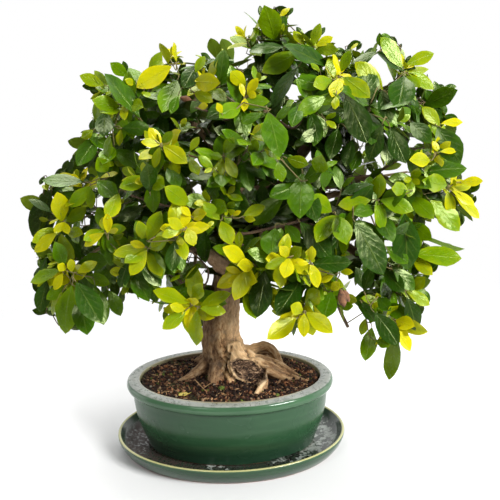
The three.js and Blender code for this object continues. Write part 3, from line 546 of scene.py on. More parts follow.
class Finish:
    """One material, built node by node."""

    def __init__(self, name):
        self.material = bpy.data.materials.new(name)
        self.material.use_nodes = True
        self.material.node_tree.nodes.clear()

    def node(self, kind, settings, sockets, output=0):
        """Add a node: its settings first, then its sockets, each a value or a link."""
        made = self.material.node_tree.nodes.new(kind)
        for name, value in settings.items():
            if name == "stops":
                self.set_stops(made.color_ramp, value)
            else:
                setattr(made, name, value)
        for name, value in sockets.items():
            socket = made.inputs[name]
            if isinstance(value, Wire):
                self.material.node_tree.links.new(value.socket, socket)
            else:
                socket.default_value = value
        return Wire(self, made.outputs[output]) if made.outputs else None

    @staticmethod
    def set_stops(ramp, stops):
        while len(ramp.elements) < len(stops):
            ramp.elements.new(1)
        for element, (place, colour) in zip(ramp.elements, stops):
            element.position = place
            element.color = colour

    def place(self):
        """Where a point is on the object, in metres."""
        return self.node("ShaderNodeTexCoord", {}, {}, "Object")

    def attribute(self, name, output="Fac"):
        return self.node("ShaderNodeAttribute", {"attribute_name": name}, {}, output)

    def apart(self, vector):
        split = self.node("ShaderNodeSeparateXYZ", {}, {"Vector": vector})
        return [Wire(self, socket) for socket in split.socket.node.outputs]

    def stretched(self, vector, scale):
        return self.node("ShaderNodeMapping", {}, {"Vector": vector, "Scale": scale})

    def mottle(self, vector, scale, detail=3, roughness=0.5, distortion=0):
        """Soft noise from 0 to 1, with scale in patches to the metre."""
        return self.node("ShaderNodeTexNoise", {}, {
            "Vector": vector, "Scale": scale, "Detail": detail, "Roughness": roughness,
            "Distortion": distortion,
        })

    def grains(self, vector, scale, output="Distance"):
        return self.node("ShaderNodeTexVoronoi", {}, {"Vector": vector, "Scale": scale}, output)

    def step(self, value, low, high, to_low=0, to_high=1):
        """Carry a value from one range smoothly over to another, and hold it at the ends."""
        return self.node("ShaderNodeMapRange", {"interpolation_type": "SMOOTHSTEP"}, {
            "Value": value, "From Min": low, "From Max": high, "To Min": to_low, "To Max": to_high,
        })

    def ramp(self, value, stops):
        return self.node("ShaderNodeValToRGB", {"stops": stops}, {"Fac": value})

    def mixed(self, share, first, second, blend="MIX"):
        settings = {"data_type": "RGBA", "blend_type": blend}
        return self.node("ShaderNodeMix", settings, {0: share, 6: first, 7: second}, 2)

    def relief(self, height, strength, distance, below=None):
        """A bump, with distance in metres. below is the bump that it lies on."""
        sockets = {"Height": height, "Strength": strength, "Distance": distance}
        if below:
            sockets["Normal"] = below
        return self.node("ShaderNodeBump", {}, sockets)

    def surface(self, sockets):
        return self.node("ShaderNodeBsdfPrincipled", {}, sockets)

    def done(self, shader):
        self.node("ShaderNodeOutputMaterial", {}, {"Surface": shader})
        return self.material


# Finishes

def glaze_finish(name, rim, body, low, rim_height, low_height):
    """Bottle green glaze: a little paler on the rim, a painted highlight, and darker towards the bottom of
    the wall, a painted shade.
    """
    paint = Finish(name)
    place = paint.place()
    height = paint.apart(place)[2] / MM
    cloud = paint.mottle(place, 22, 3, 0.5)
    rings = paint.mottle(paint.stretched(place, (0.12, 0.12, 1)), 210, 3, 0.6)
    depth = height + 6 * (cloud - 0.5) + 12 * (rings - 0.5)
    # Darker towards the bottom of the wall: a painted shade.
    colour = paint.mixed(paint.step(depth, low_height - 16, low_height + 20), low, body)
    # Paler on the rim: a painted highlight.
    colour = paint.mixed(paint.step(height, rim_height - 2, rim_height + 1.5) * 0.8, colour, rim)
    colour = paint.mixed(paint.step(rings, 0.45, 0.75) * 0.08, colour, shade(96, 134, 96))
    colour = paint.mixed(paint.step(cloud, 0.5, 0.75) * 0.2, colour, shade(30, 60, 40))
    specks = paint.grains(place, 420)
    colour = paint.mixed(paint.step(specks, 0.1, 0.16, 0.35, 0), colour, shade(20, 30, 22))
    ripple = paint.mottle(place, 55, 2, 0.5)
    orange_peel = paint.mottle(place, 700, 2, 0.5)
    normal = paint.relief(orange_peel, 0.1, 0.0003, paint.relief(ripple, 0.2, 0.0012))
    normal = paint.relief(rings, 0.25, 0.0005, normal)
    return paint, height, colour, normal, cloud, rings


def pot_finish():
    # The rim colour is a painted highlight and the low colour a painted shade.
    paint, height, colour, normal, cloud, rings = glaze_finish(
        "pot_green_glaze", shade(66, 98, 70), shade(40, 72, 46), shade(28, 54, 38),
        RIM_TOP - 11, 18)
    place = paint.place()
    east, north, _ = paint.apart(place)
    across = (north / MM) * (POT_HALF_LENGTH / POT_HALF_WIDTH)
    reach = ((east / MM) ** 2 + across ** 2) ** 0.5
    # A painted shadow: a dark line under the rim's roll.
    shadow_under_rim = paint.step((height - 67.6).size(), 0.4, 2.2, 0.3, 0)
    colour = paint.mixed(shadow_under_rim, colour, shade(12, 30, 20))
    on_top = paint.step(height, RIM_TOP - 1.1, RIM_TOP - 0.3)
    scum = paint.mottle(place, 130, 4, 0.65)
    film_and_sheen = on_top * paint.step(scum + 0.3 * cloud, 0.4, 0.8)
    # The rim top is painted grey with a whitish film: partly a mineral film, partly a painted sheen.
    colour = paint.mixed(on_top * 0.85, colour, shade(120, 128, 118))
    colour = paint.mixed(film_and_sheen * 0.8, colour, shade(176, 178, 172))
    dirt = paint.step(paint.grains(place, 480), 0.2, 0.3, 1, 0)
    thick = paint.step(paint.mottle(place, 70, 3, 0.6), 0.44, 0.58)
    colour = paint.mixed(on_top * dirt * thick, colour, shade(58, 44, 36))
    inner = paint.step(reach, 95.6, 97, 1, 0) * paint.step(height, 72, 75)
    colour = paint.mixed(inner * 0.75, colour, shade(172, 164, 128))
    inside = paint.step(reach, 92, 95, 1, 0) * paint.step(height, 19, 60)
    colour = paint.mixed(inside * 0.6, colour, shade(96, 66, 50))
    bare = paint.step(height + 1.2 * rings, 6.3, 7.4, 1, 0)
    colour = paint.mixed(bare, colour, shade(140, 84, 60))
    return paint.done(paint.surface({
        "Base Color": colour,
        "Roughness": paint.step(height, 64, 69, 0.2, 0.08) + 0.12 * cloud + 0.3 * film_and_sheen + 0.5 * bare,
        "Normal": normal, "IOR": 1.5, "Specular IOR Level": 0.42,
    }))


def saucer_finish():
    # The rim colour is a painted highlight and the low colour a painted shade.
    paint, height, colour, normal, cloud, rings = glaze_finish(
        "saucer_green_glaze", shade(72, 98, 68), shade(36, 66, 42), shade(28, 54, 36),
        SAUCER_LIP - 0.8, 6)
    place = paint.place()
    east, north, _ = paint.apart(place)
    east = east / MM
    lip = paint.step(height, SAUCER_LIP - 1.1, SAUCER_LIP - 0.25)
    colour = paint.mixed(lip * 0.85, colour, shade(188, 184, 128))
    across = north / MM * (SAUCER_HALF_LENGTH - 7) / (SAUCER_HALF_LENGTH - 7 - LONGER_BY)
    reach = (east ** 2 + across ** 2) ** 0.5
    inside = paint.step(reach - 0.75 * height, 108, 109.6, 1, 0)
    floor = inside * paint.step(height, 7, 13, 1, 0) * paint.step(height, 4.2, 4.9)
    pools = paint.mottle(place, 42, 4, 0.62)
    wet = floor * paint.step(pools - 0.0022 * east, 0.42, 0.5)
    colour = paint.mixed(floor * 0.8, colour, shade(44, 52, 44))
    # The dry floor is painted with pale streaks: partly a mineral film, partly a painted reflection.
    film_and_sheen = floor * (1 - wet)
    streaks = paint.step(paint.mottle(place, 110, 5, 0.7), 0.46, 0.56, 0.04, 1)
    colour = paint.mixed(film_and_sheen * streaks * 0.6, colour, shade(190, 196, 188))
    edge = floor * paint.step((pools - 0.0022 * east - 0.46).size(), 0.004, 0.03, 1, 0)
    colour = paint.mixed(edge, colour, shade(20, 18, 16))
    dirt = wet * paint.step(paint.mottle(place, 320, 4, 0.7) - 0.0012 * east, 0.5, 0.62)
    colour = paint.mixed(dirt, colour, shade(50, 38, 32))
    normal = paint.relief(pools * floor, 0.35, 0.004, normal)
    bare = paint.step(height + 1.4 * rings, 1.7, 2.7, 1, 0)
    colour = paint.mixed(bare, colour, shade(120, 70, 48))
    rough = 0.05 + 0.08 * cloud + 0.1 * film_and_sheen + 0.6 * dirt + 0.5 * bare
    return paint.done(paint.surface({
        "Base Color": colour, "Roughness": rough.least(0.9), "Normal": normal, "IOR": 1.52,
    }))


def screen_finish():
    """Woven black mesh over the drain holes."""
    paint = Finish("drain_screen_mesh")
    place = paint.place()
    east, north, _ = paint.apart(place)
    weave = (east * 4000).sine() * (north * 4000).sine()
    colour = paint.mixed(paint.step(weave, -0.4, 0.6), shade(30, 32, 34), shade(74, 74, 70))
    dust = paint.mottle(place, 300, 3, 0.6)
    colour = paint.mixed(paint.step(dust, 0.55, 0.75) * 0.6, colour, shade(92, 70, 54))
    return paint.done(paint.surface({
        "Base Color": colour, "Roughness": 0.5 + 0.3 * dust,
        "Normal": paint.relief(weave, 0.5, 0.0004),
    }))


def soil_finish():
    """Damp dark crumb with red-brown grit, and greener where moss has taken."""
    paint = Finish("dark_soil")
    place = paint.place()
    clods = paint.mottle(place, 240, 5, 0.7)
    grit = paint.grains(place, 620, "Color")
    colour = paint.ramp(clods, [
        (0.32, shade(12, 8, 6)), (0.48, shade(38, 25, 18)), (0.6, shade(78, 50, 36)),
        (0.78, shade(120, 80, 58)),
    ])
    colour = paint.mixed(0.35, colour, grit, "SOFT_LIGHT")
    moss = paint.step(paint.mottle(place, 34, 3, 0.6), 0.56, 0.66) * paint.step(clods, 0.4, 0.6)
    colour = paint.mixed(moss * 0.7, colour, shade(84, 92, 44))
    pit = paint.grains(place, 700)
    return paint.done(paint.surface({
        "Base Color": colour, "Roughness": 0.95, "Specular IOR Level": 0.25,
        "Normal": paint.relief(pit, 0.8, 0.0009, paint.relief(clods, 0.9, 0.002)),
    }))


def crumb_finish():
    """Loose crumbs: the attribute kind runs from dark humus over red clay and grit to moss."""
    paint = Finish("loose_soil_crumbs")
    place = paint.place()
    fine = paint.mottle(place, 900, 3, 0.65)
    colour = paint.ramp(paint.attribute("kind"), [
        (0, shade(18, 11, 8)), (0.35, shade(46, 29, 20)), (0.58, shade(92, 57, 36)),
        (0.78, shade(150, 98, 64)), (0.93, shade(190, 146, 106)), (0.965, shade(150, 130, 104)),
        (0.972, shade(196, 188, 170)), (0.98, shade(104, 112, 44)), (1, shade(66, 84, 28)),
    ])
    colour = paint.mixed(paint.step(fine, 0.3, 0.7) * 0.55, colour, shade(20, 14, 10))
    damp = paint.step(paint.mottle(place, 38, 3, 0.6), 0.42, 0.6)
    colour = paint.mixed(damp * 0.6, colour, shade(30, 20, 14))
    return paint.done(paint.surface({
        "Base Color": colour, "Roughness": 0.92, "Specular IOR Level": 0.25,
        "Normal": paint.relief(fine, 0.7, 0.0005),
    }))


def moss_finish():
    paint = Finish("soil_moss")
    place = paint.place()
    tips = paint.mottle(place, 1100, 3, 0.7)
    colour = paint.ramp(tips, [
        (0.3, shade(30, 40, 12)), (0.5, shade(74, 92, 28)), (0.7, shade(140, 152, 56)),
    ])
    return paint.done(paint.surface({
        "Base Color": colour, "Roughness": 0.95, "Normal": paint.relief(tips, 0.9, 0.0008),
    }))


def bark_finish():
    """Fibrous tan bark, weathered pale on its ridges, with painted shade in its furrows, on its left side, on
    the roots to its right and under the crown, and painted light on its right side.

    The attribute fibre is the place in a straightened limb, so the furrows run along the wood.
    """
    paint = Finish("fibrous_bark")
    fibre = paint.attribute("fibre", "Vector")
    place = paint.place()
    strands = paint.mottle(paint.stretched(fibre, (1, 1, 0.4)), 380, 6, 0.68, 0.6)
    plates = paint.mottle(paint.stretched(fibre, (1, 1, 0.45)), 95, 4, 0.6, 0.8)
    cloud = paint.mottle(place, 34, 3, 0.55)
    threads = paint.mottle(paint.stretched(fibre, (1, 1, 0.12)), 800, 3, 0.6)
    furrow = paint.attribute("furrow")
    flecks = paint.mottle(place, 1300, 2, 0.7)
    tone = strands * 0.42 + plates * 0.26 + threads * 0.16 + flecks * 0.16
    # The furrow depth also darkens the tone: a painted shade.
    colour = paint.ramp(tone - 0.1 * furrow, [
        (0.39, shade(56, 36, 22)), (0.455, shade(124, 88, 56)), (0.505, shade(190, 146, 98)),
        (0.55, shade(224, 182, 130)), (0.62, shade(246, 216, 172)),
    ])
    colour = paint.mixed(paint.step(cloud, 0.45, 0.65) * 0.4, colour, shade(134, 98, 62))
    grey = paint.step(paint.mottle(place, 62, 4, 0.6), 0.54, 0.66)
    colour = paint.mixed(grey * 0.3, colour, shade(180, 166, 138))
    east, _, height = paint.apart(place)
    turned_east = east / MM + 0.12 * (height / MM)
    # A painted light: the bark is paler on its right side, less so over the roots.
    painted_light_east = paint.step(turned_east, 6, 18) * paint.step(east / MM, 26, 40, 0.5, 0)
    colour = paint.mixed(painted_light_east, colour, shade(250, 210, 160))
    # A painted shade: the bark is darker on its left side.
    colour = paint.mixed(paint.step(turned_east, -2, 9, 0.65, 0), colour, shade(80, 58, 42))
    # A painted shade: the roots to the right are darker.
    colour = paint.mixed(paint.step(east / MM, 26, 42) * 0.55, colour, shade(104, 78, 54))
    # A painted shade: the trunk darkens upwards, under the crown.
    upper = paint.step(height / MM, 112, 170) * 0.72
    colour = paint.mixed(upper, colour, shade(66, 48, 34))
    damp = paint.step(height / MM + 6 * (cloud - 0.5), 75, 82, 0.5, 0)
    colour = paint.mixed(damp, colour, shade(70, 50, 34))
    # Darker in the furrows: a painted shade.
    colour = paint.mixed(paint.step(furrow, 0.25, 1.5) * 0.8, colour, shade(34, 24, 16))
    hollow = paint.attribute("hollow")
    pitted = paint.mottle(paint.stretched(place, (0.5, 1, 1)), 300, 5, 0.7, 1.2)
    rotted = paint.ramp(pitted, [
        (0.4, shade(26, 18, 12)), (0.48, shade(74, 54, 40)), (0.55, shade(126, 98, 74)),
        (0.64, shade(196, 164, 130)),
    ])
    colour = paint.mixed(hollow, colour, rotted)
    normal = paint.relief(threads, 0.6, 0.0005, paint.relief(tone, 1, 0.003))
    normal = paint.relief(pitted * hollow, 0.6, 0.002, normal)
    return paint.done(paint.surface({
        "Base Color": colour, "Roughness": 0.78 + 0.15 * strands, "Normal": normal,
        "Specular IOR Level": 0.3,
    }))


def twig_finish():
    """Young stems: green-brown, browner on older wood by the attribute age."""
    paint = Finish("young_stem")
    place = paint.place()
    streaks = paint.mottle(paint.stretched(place, (1, 1, 0.3)), 500, 3, 0.6)
    colour = paint.ramp(paint.attribute("age"), [
        (0, shade(158, 160, 50)), (0.35, shade(112, 112, 46)), (0.6, shade(96, 78, 48)),
        (1, shade(84, 64, 44)),
    ])
    colour = paint.mixed(paint.step(streaks, 0.4, 0.7) * 0.4, colour, shade(150, 120, 84))
    return paint.done(paint.surface({
        "Base Color": colour, "Roughness": 0.7, "Normal": paint.relief(streaks, 0.5, 0.0004),
    }))


LEAF_AGES = [
    (0, shade(232, 218, 14)), (0.14, shade(196, 196, 6)), (0.28, shade(148, 166, 6)),
    (0.42, shade(106, 142, 1)), (0.58, shade(66, 106, 2)), (0.78, shade(32, 68, 6)),
    (1, shade(18, 42, 7)),
]


def leaf_finish(name, is_under):
    """A glossy blade, quilted between sunken side veins. Its own map runs across and along it."""
    paint = Finish(name)
    blade = paint.node("ShaderNodeUVMap", {"uv_map": "blade"}, {})
    across, along, _ = paint.apart(blade)
    aside = (across - 0.5).size() * 2
    wander = paint.mottle(blade, 7, 2, 0.5)
    ribs = ((along - 0.3 * aside + 0.06 * wander) * 46).sine()
    rib_line = paint.step(ribs, 0.75, 0.99) * paint.step(aside, 0.92, 0.6)
    midrib = paint.step(aside, 0.02, 0.08, 1, 0)
    age = paint.attribute("age")
    cells = paint.mottle(paint.place(), 260, 4, 0.65)
    patches = paint.mottle(paint.place(), 75, 2, 0.5)
    edge_glow = paint.step(aside, 0.5, 1) * 0.07 + paint.step(along, 0.7, 1) * 0.05
    worn = (age + 0.26 * (patches - 0.5) + 0.2 * (cells - 0.5) - edge_glow + 0.03).least(1).most(0)
    colour = paint.ramp(worn, LEAF_AGES)
    pale = paint.mixed(0.4, colour, shade(160, 176, 70))
    colour = paint.mixed((midrib * 0.32).most(rib_line * 0.16), colour, pale)
    if is_under:
        colour = paint.mixed(0.35, colour, shade(128, 142, 74))
    height = cells * 0.16 - (ribs * 0.05 + rib_line * 0.13) * paint.step(aside, 1, 0.5) - midrib
    normal = paint.relief(height, 0.5, 0.0006, paint.relief(patches, 0.35, 0.003))
    blade_skin = paint.surface({
        "Base Color": colour, "Normal": normal, "IOR": 1.47,
        "Roughness": 0.6 if is_under else 0.16 + 0.2 * cells,
        "Specular IOR Level": 0.2 if is_under else 0.6, "Specular Tint": (0.88, 1, 0.48, 1),
    })
    through = paint.node("ShaderNodeBsdfTranslucent", {}, {"Color": shade(190, 200, 8)})
    share = paint.step(age, 0, 0.9, 0.42, 0.14)
    return paint.done(paint.node("ShaderNodeMixShader", {}, {0: share, 1: blade_skin, 2: through}))


def fallen_leaf_finish():
    paint = Finish("fallen_yellow_leaf")
    blade = paint.node("ShaderNodeUVMap", {"uv_map": "blade"}, {})
    aside = (paint.apart(blade)[0] - 0.5).size() * 2
    spots = paint.mottle(paint.place(), 420, 3, 0.6)
    colour = paint.mixed(paint.step(spots, 0.45, 0.7), shade(226, 208, 96), shade(168, 128, 56))
    colour = paint.mixed(paint.step(aside, 0.05, 0.15, 0.6, 0), colour, shade(238, 226, 150))
    return paint.done(paint.surface({
        "Base Color": colour, "Roughness": 0.55, "Normal": paint.relief(spots, 0.4, 0.0005),
    }))


def dry_wood_finish():
    paint = Finish("dry_tan_twig")
    streaks = paint.mottle(paint.stretched(paint.place(), (0.3, 1, 1)), 600, 3, 0.6)
    colour = paint.mixed(paint.step(streaks, 0.35, 0.7), shade(196, 158, 110), shade(126, 92, 60))
    return paint.done(paint.surface({
        "Base Color": colour, "Roughness": 0.75, "Normal": paint.relief(streaks, 0.5, 0.0004),
    }))


def dead_leaf_finish():
    """Curled leaves that dried on the twig."""
    paint = Finish("dried_brown_leaf")
    stains = paint.mottle(paint.place(), 260, 4, 0.6)
    colour = paint.mixed(paint.step(stains, 0.35, 0.65), shade(122, 82, 52), shade(70, 44, 30))
    return paint.done(paint.surface({
        "Base Color": colour, "Roughness": 0.8, "Normal": paint.relief(stains, 0.5, 0.0008),
    }))


POT_GLAZE = pot_finish()
SAUCER_GLAZE = saucer_finish()
SCREEN_MESH = screen_finish()
SOIL = soil_finish()
CRUMBS = crumb_finish()
MOSS = moss_finish()
BARK = bark_finish()
TWIG = twig_finish()
LEAF_TOP = leaf_finish("leaf_upper_side", False)
LEAF_UNDER = leaf_finish("leaf_underside", True)
FALLEN_LEAF = fallen_leaf_finish()
DRY_WOOD = dry_wood_finish()
DEAD_LEAF = dead_leaf_finish()


# Making pieces

def draw(seed):
    """A repeatable draw from 0 to 1."""
    wave = math.sin(seed * 12.9898 + 4.1414) * 43758.5453
    return wave - math.floor(wave)


def seen_at(right, down, depth):
    """The place that the photograph shows at a pixel, at the depth y."""
    middle = PICTURE_SIZE / 2
    ray = EYE.to_3x3() @ Vector((right - middle, middle - down, -EYE_LENS))
    return EYE.translation + ray * ((depth - EYE.translation.y) / ray.y)


def as_seen(point):
    """The pixel at which the photograph shows a place."""
    x, y, z = EYE.inverted() @ point
    return PICTURE_SIZE / 2 - EYE_LENS * x / z, PICTURE_SIZE / 2 + EYE_LENS * y / z


def as_mesh(name, shape):
    """Turn a shape into a mesh of its own."""
    mesh = bpy.data.meshes.new(name)
    shape.to_mesh(mesh)
    shape.free()
    return mesh


def as_object(name, data):
    """Put a mesh, a curve, a light or a camera into the scene."""
    made = bpy.data.objects.new(name, data)
    bpy.context.collection.objects.link(made)
    return made


def finish_piece(name, shape, materials, slot, *nodes, sharp=None):
    """Put a finished shape into the scene as one piece, in metres, riding on the body."""
    bmesh.ops.scale(shape, vec=(MM, MM, MM), verts=shape.verts)
    for face in shape.faces:
        face.smooth = True
    mesh = as_mesh(name, shape)
    for material in materials:
        mesh.materials.append(material)
    if sharp:
        mesh.set_sharp_from_angle(angle=math.radians(sharp))
    piece = as_object(name, mesh)
    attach(piece, "root")
    if nodes:
        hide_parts(*nodes)


def with_modifier(shape, kind, **settings):
    """Pass a shape through one of Blender's modifiers and hand back the result."""
    mesh = as_mesh("in_the_making", shape)
    holder = as_object("in_the_making", mesh)
    modifier = holder.modifiers.new("step", kind)
    for name, value in settings.items():
        setattr(modifier, name, value)
    depsgraph = bpy.context.evaluated_depsgraph_get()
    result = bpy.data.meshes.new_from_object(holder.evaluated_get(depsgraph))
    made = bmesh.new()
    made.from_mesh(result)
    bpy.data.objects.remove(holder)
    bpy.data.meshes.remove(mesh)
    bpy.data.meshes.remove(result)
    return made


def cut_away(shape, tool):
    """Cut the tool's shape out of another."""
    mesh = as_mesh("cutter", tool)
    cutter = as_object("cutter", mesh)
    made = with_modifier(shape, "BOOLEAN", operation="DIFFERENCE", solver="EXACT", object=cutter)
    bpy.data.objects.remove(cutter)
    bpy.data.meshes.remove(mesh)
    return made


def turned(profile, steps, rounding=()):
    """Spin a profile of radius, height about the Z axis into an oval. rounding gives the radius
    for a profile point by its number."""
    shape = bmesh.new()
    points = [shape.verts.new((radius, 0, height)) for radius, height in profile]
    for near, far in zip(points, points[1:]):
        shape.edges.new((near, far))
    for number, size in rounding:
        bmesh.ops.bevel(
            shape, geom=[points[number]], offset=size, offset_type="OFFSET", segments=4,
            profile=0.5, affect="VERTICES", material=-1)
    bmesh.ops.spin(
        shape, geom=shape.verts[:] + shape.edges[:], cent=(0, 0, 0), axis=(0, 0, 1),
        angle=2 * math.pi, steps=steps, use_merge=True)
    bmesh.ops.remove_doubles(shape, verts=shape.verts, dist=0.001)
    bmesh.ops.recalc_face_normals(shape, faces=shape.faces)
    for vert in shape.verts:
        vert.co = oval(vert.co)
    return shape


EVEN_WITHIN = 68


def oval(point):
    """Squeeze a round vessel to the pot's oval: walls keep their thickness all round."""
    radius = math.hypot(point.x, point.y)
    if radius < 0.001:
        return point.copy()
    across = radius - LONGER_BY
    if radius <= EVEN_WITHIN:
        across = radius * (EVEN_WITHIN - LONGER_BY) / EVEN_WITHIN
    return Vector((point.x, point.y * across / radius, point.z))


def cylinder(radius, height, x, y, z):
    shape = bmesh.new()
    bmesh.ops.create_cone(
        shape, cap_ends=True, segments=48, radius1=radius, radius2=radius, depth=height,
        matrix=Matrix.Translation((x, y, z + height / 2)))
    return shape


def wood_line(points, spacing):
    """Points and radii evenly along a smooth line through x, y, z, radius points."""
    knots = [Vector(point[:3]) for point in points]
    knots = [2 * knots[0] - knots[1]] + knots + [2 * knots[-1] - knots[-2]]
    radii = [point[3] for point in points]
    fine = []
    for i in range(len(points) - 1):
        before, start, end, after = knots[i:i + 4]
        gaps = [math.sqrt((b - a).length) for a, b in ((before, start), (start, end), (end, after))]
        leave = (start - before) / gaps[0] - (end - before) / (gaps[0] + gaps[1]) + (end - start) / gaps[1]
        reach = (end - start) / gaps[1] - (after - start) / (gaps[1] + gaps[2]) + (after - end) / gaps[2]
        leave *= gaps[1]
        reach *= gaps[1]
        for k in range(24):
            t = k / 24
            place = (
                start * (2 * t ** 3 - 3 * t ** 2 + 1) + leave * (t ** 3 - 2 * t ** 2 + t)
                + end * (3 * t ** 2 - 2 * t ** 3) + reach * (t ** 3 - t ** 2))
            fine.append((place, radii[i] + (radii[i + 1] - radii[i]) * t))
    fine.append((knots[-2], radii[-1]))
    return evenly(fine, spacing)


def evenly(line, spacing):
    """The same line with its points spaced evenly, about spacing apart."""
    lengths = [0]
    for near, far in zip(line, line[1:]):
        lengths.append(lengths[-1] + (far[0] - near[0]).length)
    count = max(2, round(lengths[-1] / spacing))
    placed = []
    i = 0
    for step in range(count + 1):
        wanted = lengths[-1] * step / count
        while i < len(line) - 2 and lengths[i + 1] < wanted:
            i += 1
        share = (wanted - lengths[i]) / max(lengths[i + 1] - lengths[i], 1e-6)
        near, far = line[i], line[i + 1]
        placed.append((near[0].lerp(far[0], share), near[1] + (far[1] - near[1]) * share))
    return placed


def add_shape(shape, other):
    """Join another shape into a shape."""
    mesh = as_mesh("joined_in", other)
    shape.from_mesh(mesh)
    bpy.data.meshes.remove(mesh)


def stems(lines, roundness=1):
    """A round stem along each line of points and radii."""
    curve = bpy.data.curves.new("stems", "CURVE")
    curve.dimensions = "3D"
    curve.bevel_depth = 1
    curve.bevel_resolution = roundness
    curve.use_fill_caps = True
    for line in lines:
        spline = curve.splines.new("POLY")
        spline.points.add(len(line) - 1)
        for point, (place, radius) in zip(spline.points, line):
            point.co = (*place, 1)
            point.radius = radius
    holder = as_object("stems", curve)
    mesh = bpy.data.meshes.new_from_object(holder)
    shape = bmesh.new()
    shape.from_mesh(mesh)
    bpy.data.objects.remove(holder)
    bpy.data.curves.remove(curve)
    bpy.data.meshes.remove(mesh)
    bmesh.ops.remove_doubles(shape, verts=shape.verts, dist=0.0001)
    return shape


# Pot, saucer and drain screens

def make_pot():
    inside = POT_HALF_LENGTH - RIM_BAND
    body = turned([
        (0, 10.5), (77, 10.5), (80, FOOT_BOTTOM), (89.5, FOOT_BOTTOM), (91.5, 13), (97, 27),
        (101.5, 43), (103.3, 60), (103.3, 67.5), (108.4, 69.5), (POT_HALF_LENGTH, 73.5),
        (108.6, 77.8), (106, RIM_TOP), (inside, RIM_TOP), (94.5, 70), (92.6, 48), (88.5, 31),
        (82, 21), (74, FLOOR_TOP), (0, FLOOR_TOP),
    ], OVAL_STEPS, [
        (1, 2), (2, 1.2), (3, 1.2), (4, 4), (5, 7), (6, 7), (7, 5), (8, 1), (9, 1.6), (10, 1.8),
        (11, 1.2), (12, 1), (13, 1.2), (14, 3), (15, 6), (16, 5), (17, 3), (18, 3),
    ])
    notch = Matrix.Diagonal((FOOT_NOTCH_LENGTH, FOOT_NOTCH_LENGTH, FOOT_NOTCH_HEIGHT, 1))
    for degrees in FOOT_NOTCHES:
        turn = math.radians(degrees)
        facing = Matrix.Rotation(math.atan2(
            math.sin(turn) * FOOT_RING_HALF_LENGTH, math.cos(turn) * FOOT_RING_HALF_WIDTH), 4, "Z")
        middle = Matrix.Translation((
            FOOT_RING_HALF_LENGTH * math.cos(turn), FOOT_RING_HALF_WIDTH * math.sin(turn),
            FOOT_BOTTOM - 0.4))
        block = bmesh.new()
        bmesh.ops.create_cube(block, size=1, matrix=middle @ facing @ notch)
        body = cut_away(body, block)
    for side in (-1, 1):
        body = cut_away(body, cylinder(DRAIN_RADIUS, 20, side * DRAIN_OFFSET, 0, 5))
    finish_piece("oval_pot", body, [POT_GLAZE], "pot_glaze", "pot", sharp=40)


def make_saucer():
    body = turned([
        (0, 0), (113, 0), (115.5, 2.5), (120, 9), (SAUCER_HALF_LENGTH, 16), (121.8, SAUCER_LIP),
        (119.6, SAUCER_LIP), (114.5, 9), (108, SAUCER_FLOOR), (0, SAUCER_FLOOR),
    ], OVAL_STEPS, [(1, 1), (2, 1), (3, 3), (4, 1.6), (5, 0.8), (6, 0.9), (7, 3), (8, 3)])
    finish_piece("oval_saucer", body, [SAUCER_GLAZE], "saucer_glaze", "saucer", sharp=40)


# Soil

def soil_reach(x, y):
    """How far a place lies from the middle of the soil, as a share of the way to its edge."""
    return math.hypot(x / SOIL_HALF_LENGTH, y / SOIL_HALF_WIDTH)


def strewn(reach, seed):
    """A place on the soil that far from the middle, in a drawn direction."""
    turn = 2 * math.pi * draw(seed + 1)
    return SOIL_HALF_LENGTH * reach * math.cos(turn), SOIL_HALF_WIDTH * reach * math.sin(turn)


def soil_height(x, y):
    """Height of the soil's surface at a place, its crumb included."""
    reach = soil_reach(x, y)
    place = Vector((x, y, 0))
    swell = 1.6 * noise.noise(place / 26 + Vector((3, 5, 0)))
    clods = 1.5 * noise.noise(place / 6.5) + 0.9 * noise.noise(place / 2.8 + Vector((9, 0, 0)))
    banked = 2.5 * max(0, 1 - math.hypot(x - 8, y - 8) / 48)
    return SOIL_TOP + SOIL_RISE * (1 - reach ** 2) + banked + (swell + clods) * min(1, 5 * (1.02 - reach))


def make_soil():
    rings = 84
    top = [(SOIL_HALF_LENGTH * (1 - i / rings), SOIL_TOP - 1) for i in range(rings + 1)]
    under = FLOOR_TOP + SEAT_GAP
    wall = [
        (0, under), (74 - SEAT_GAP, under), (88.5 - SEAT_GAP, 31 + SEAT_GAP), (92.6 - SEAT_GAP, 48),
        (93.2, 62),
    ]
    bed = turned(wall + top, 300)
    for vert in bed.verts:
        if vert.co.z > SOIL_TOP - 2:
            vert.co.z = soil_height(vert.co.x, vert.co.y)
    finish_piece("soil_bed", bed, [SOIL], "soil", "soil")


def make_crumbs():
    """Loose crumbs lie half sunk in the bed."""
    shape = bmesh.new()
    kind = shape.verts.layers.float.new("kind")
    blank = bmesh.new()
    bmesh.ops.create_icosphere(blank, subdivisions=1, radius=1)
    blank.verts.layers.float.new("kind")
    crumb = as_mesh("crumb", blank)
    for number in range(CRUMB_COUNT):
        seed = 5000 + 7 * number
        x, y = strewn(0.975 * math.sqrt(draw(seed)), seed)
        size = 0.45 + 1.9 * draw(seed + 2) ** 4
        first = len(shape.verts)
        shape.from_mesh(crumb)
        shape.verts.ensure_lookup_table()
        spin = Quaternion((draw(seed + 3), draw(seed + 4), draw(seed + 5)), 6 * draw(seed + 6))
        squash = Vector((1.25 - 0.5 * draw(seed + 3), 1, 0.7 + 0.3 * draw(seed + 4)))
        place = Vector((x, y, soil_height(x, y) + 0.25 * size))
        shade_of_crumb = draw(seed + 0.5)
        for vert in shape.verts[first:]:
            rough = 1 + 0.35 * noise.noise(vert.co * 1.7 + place)
            vert.co = place + size * (spin @ (vert.co * squash * rough))
            vert[kind] = shade_of_crumb
    finish_piece("soil_crumbs", shape, [CRUMBS], "soil")


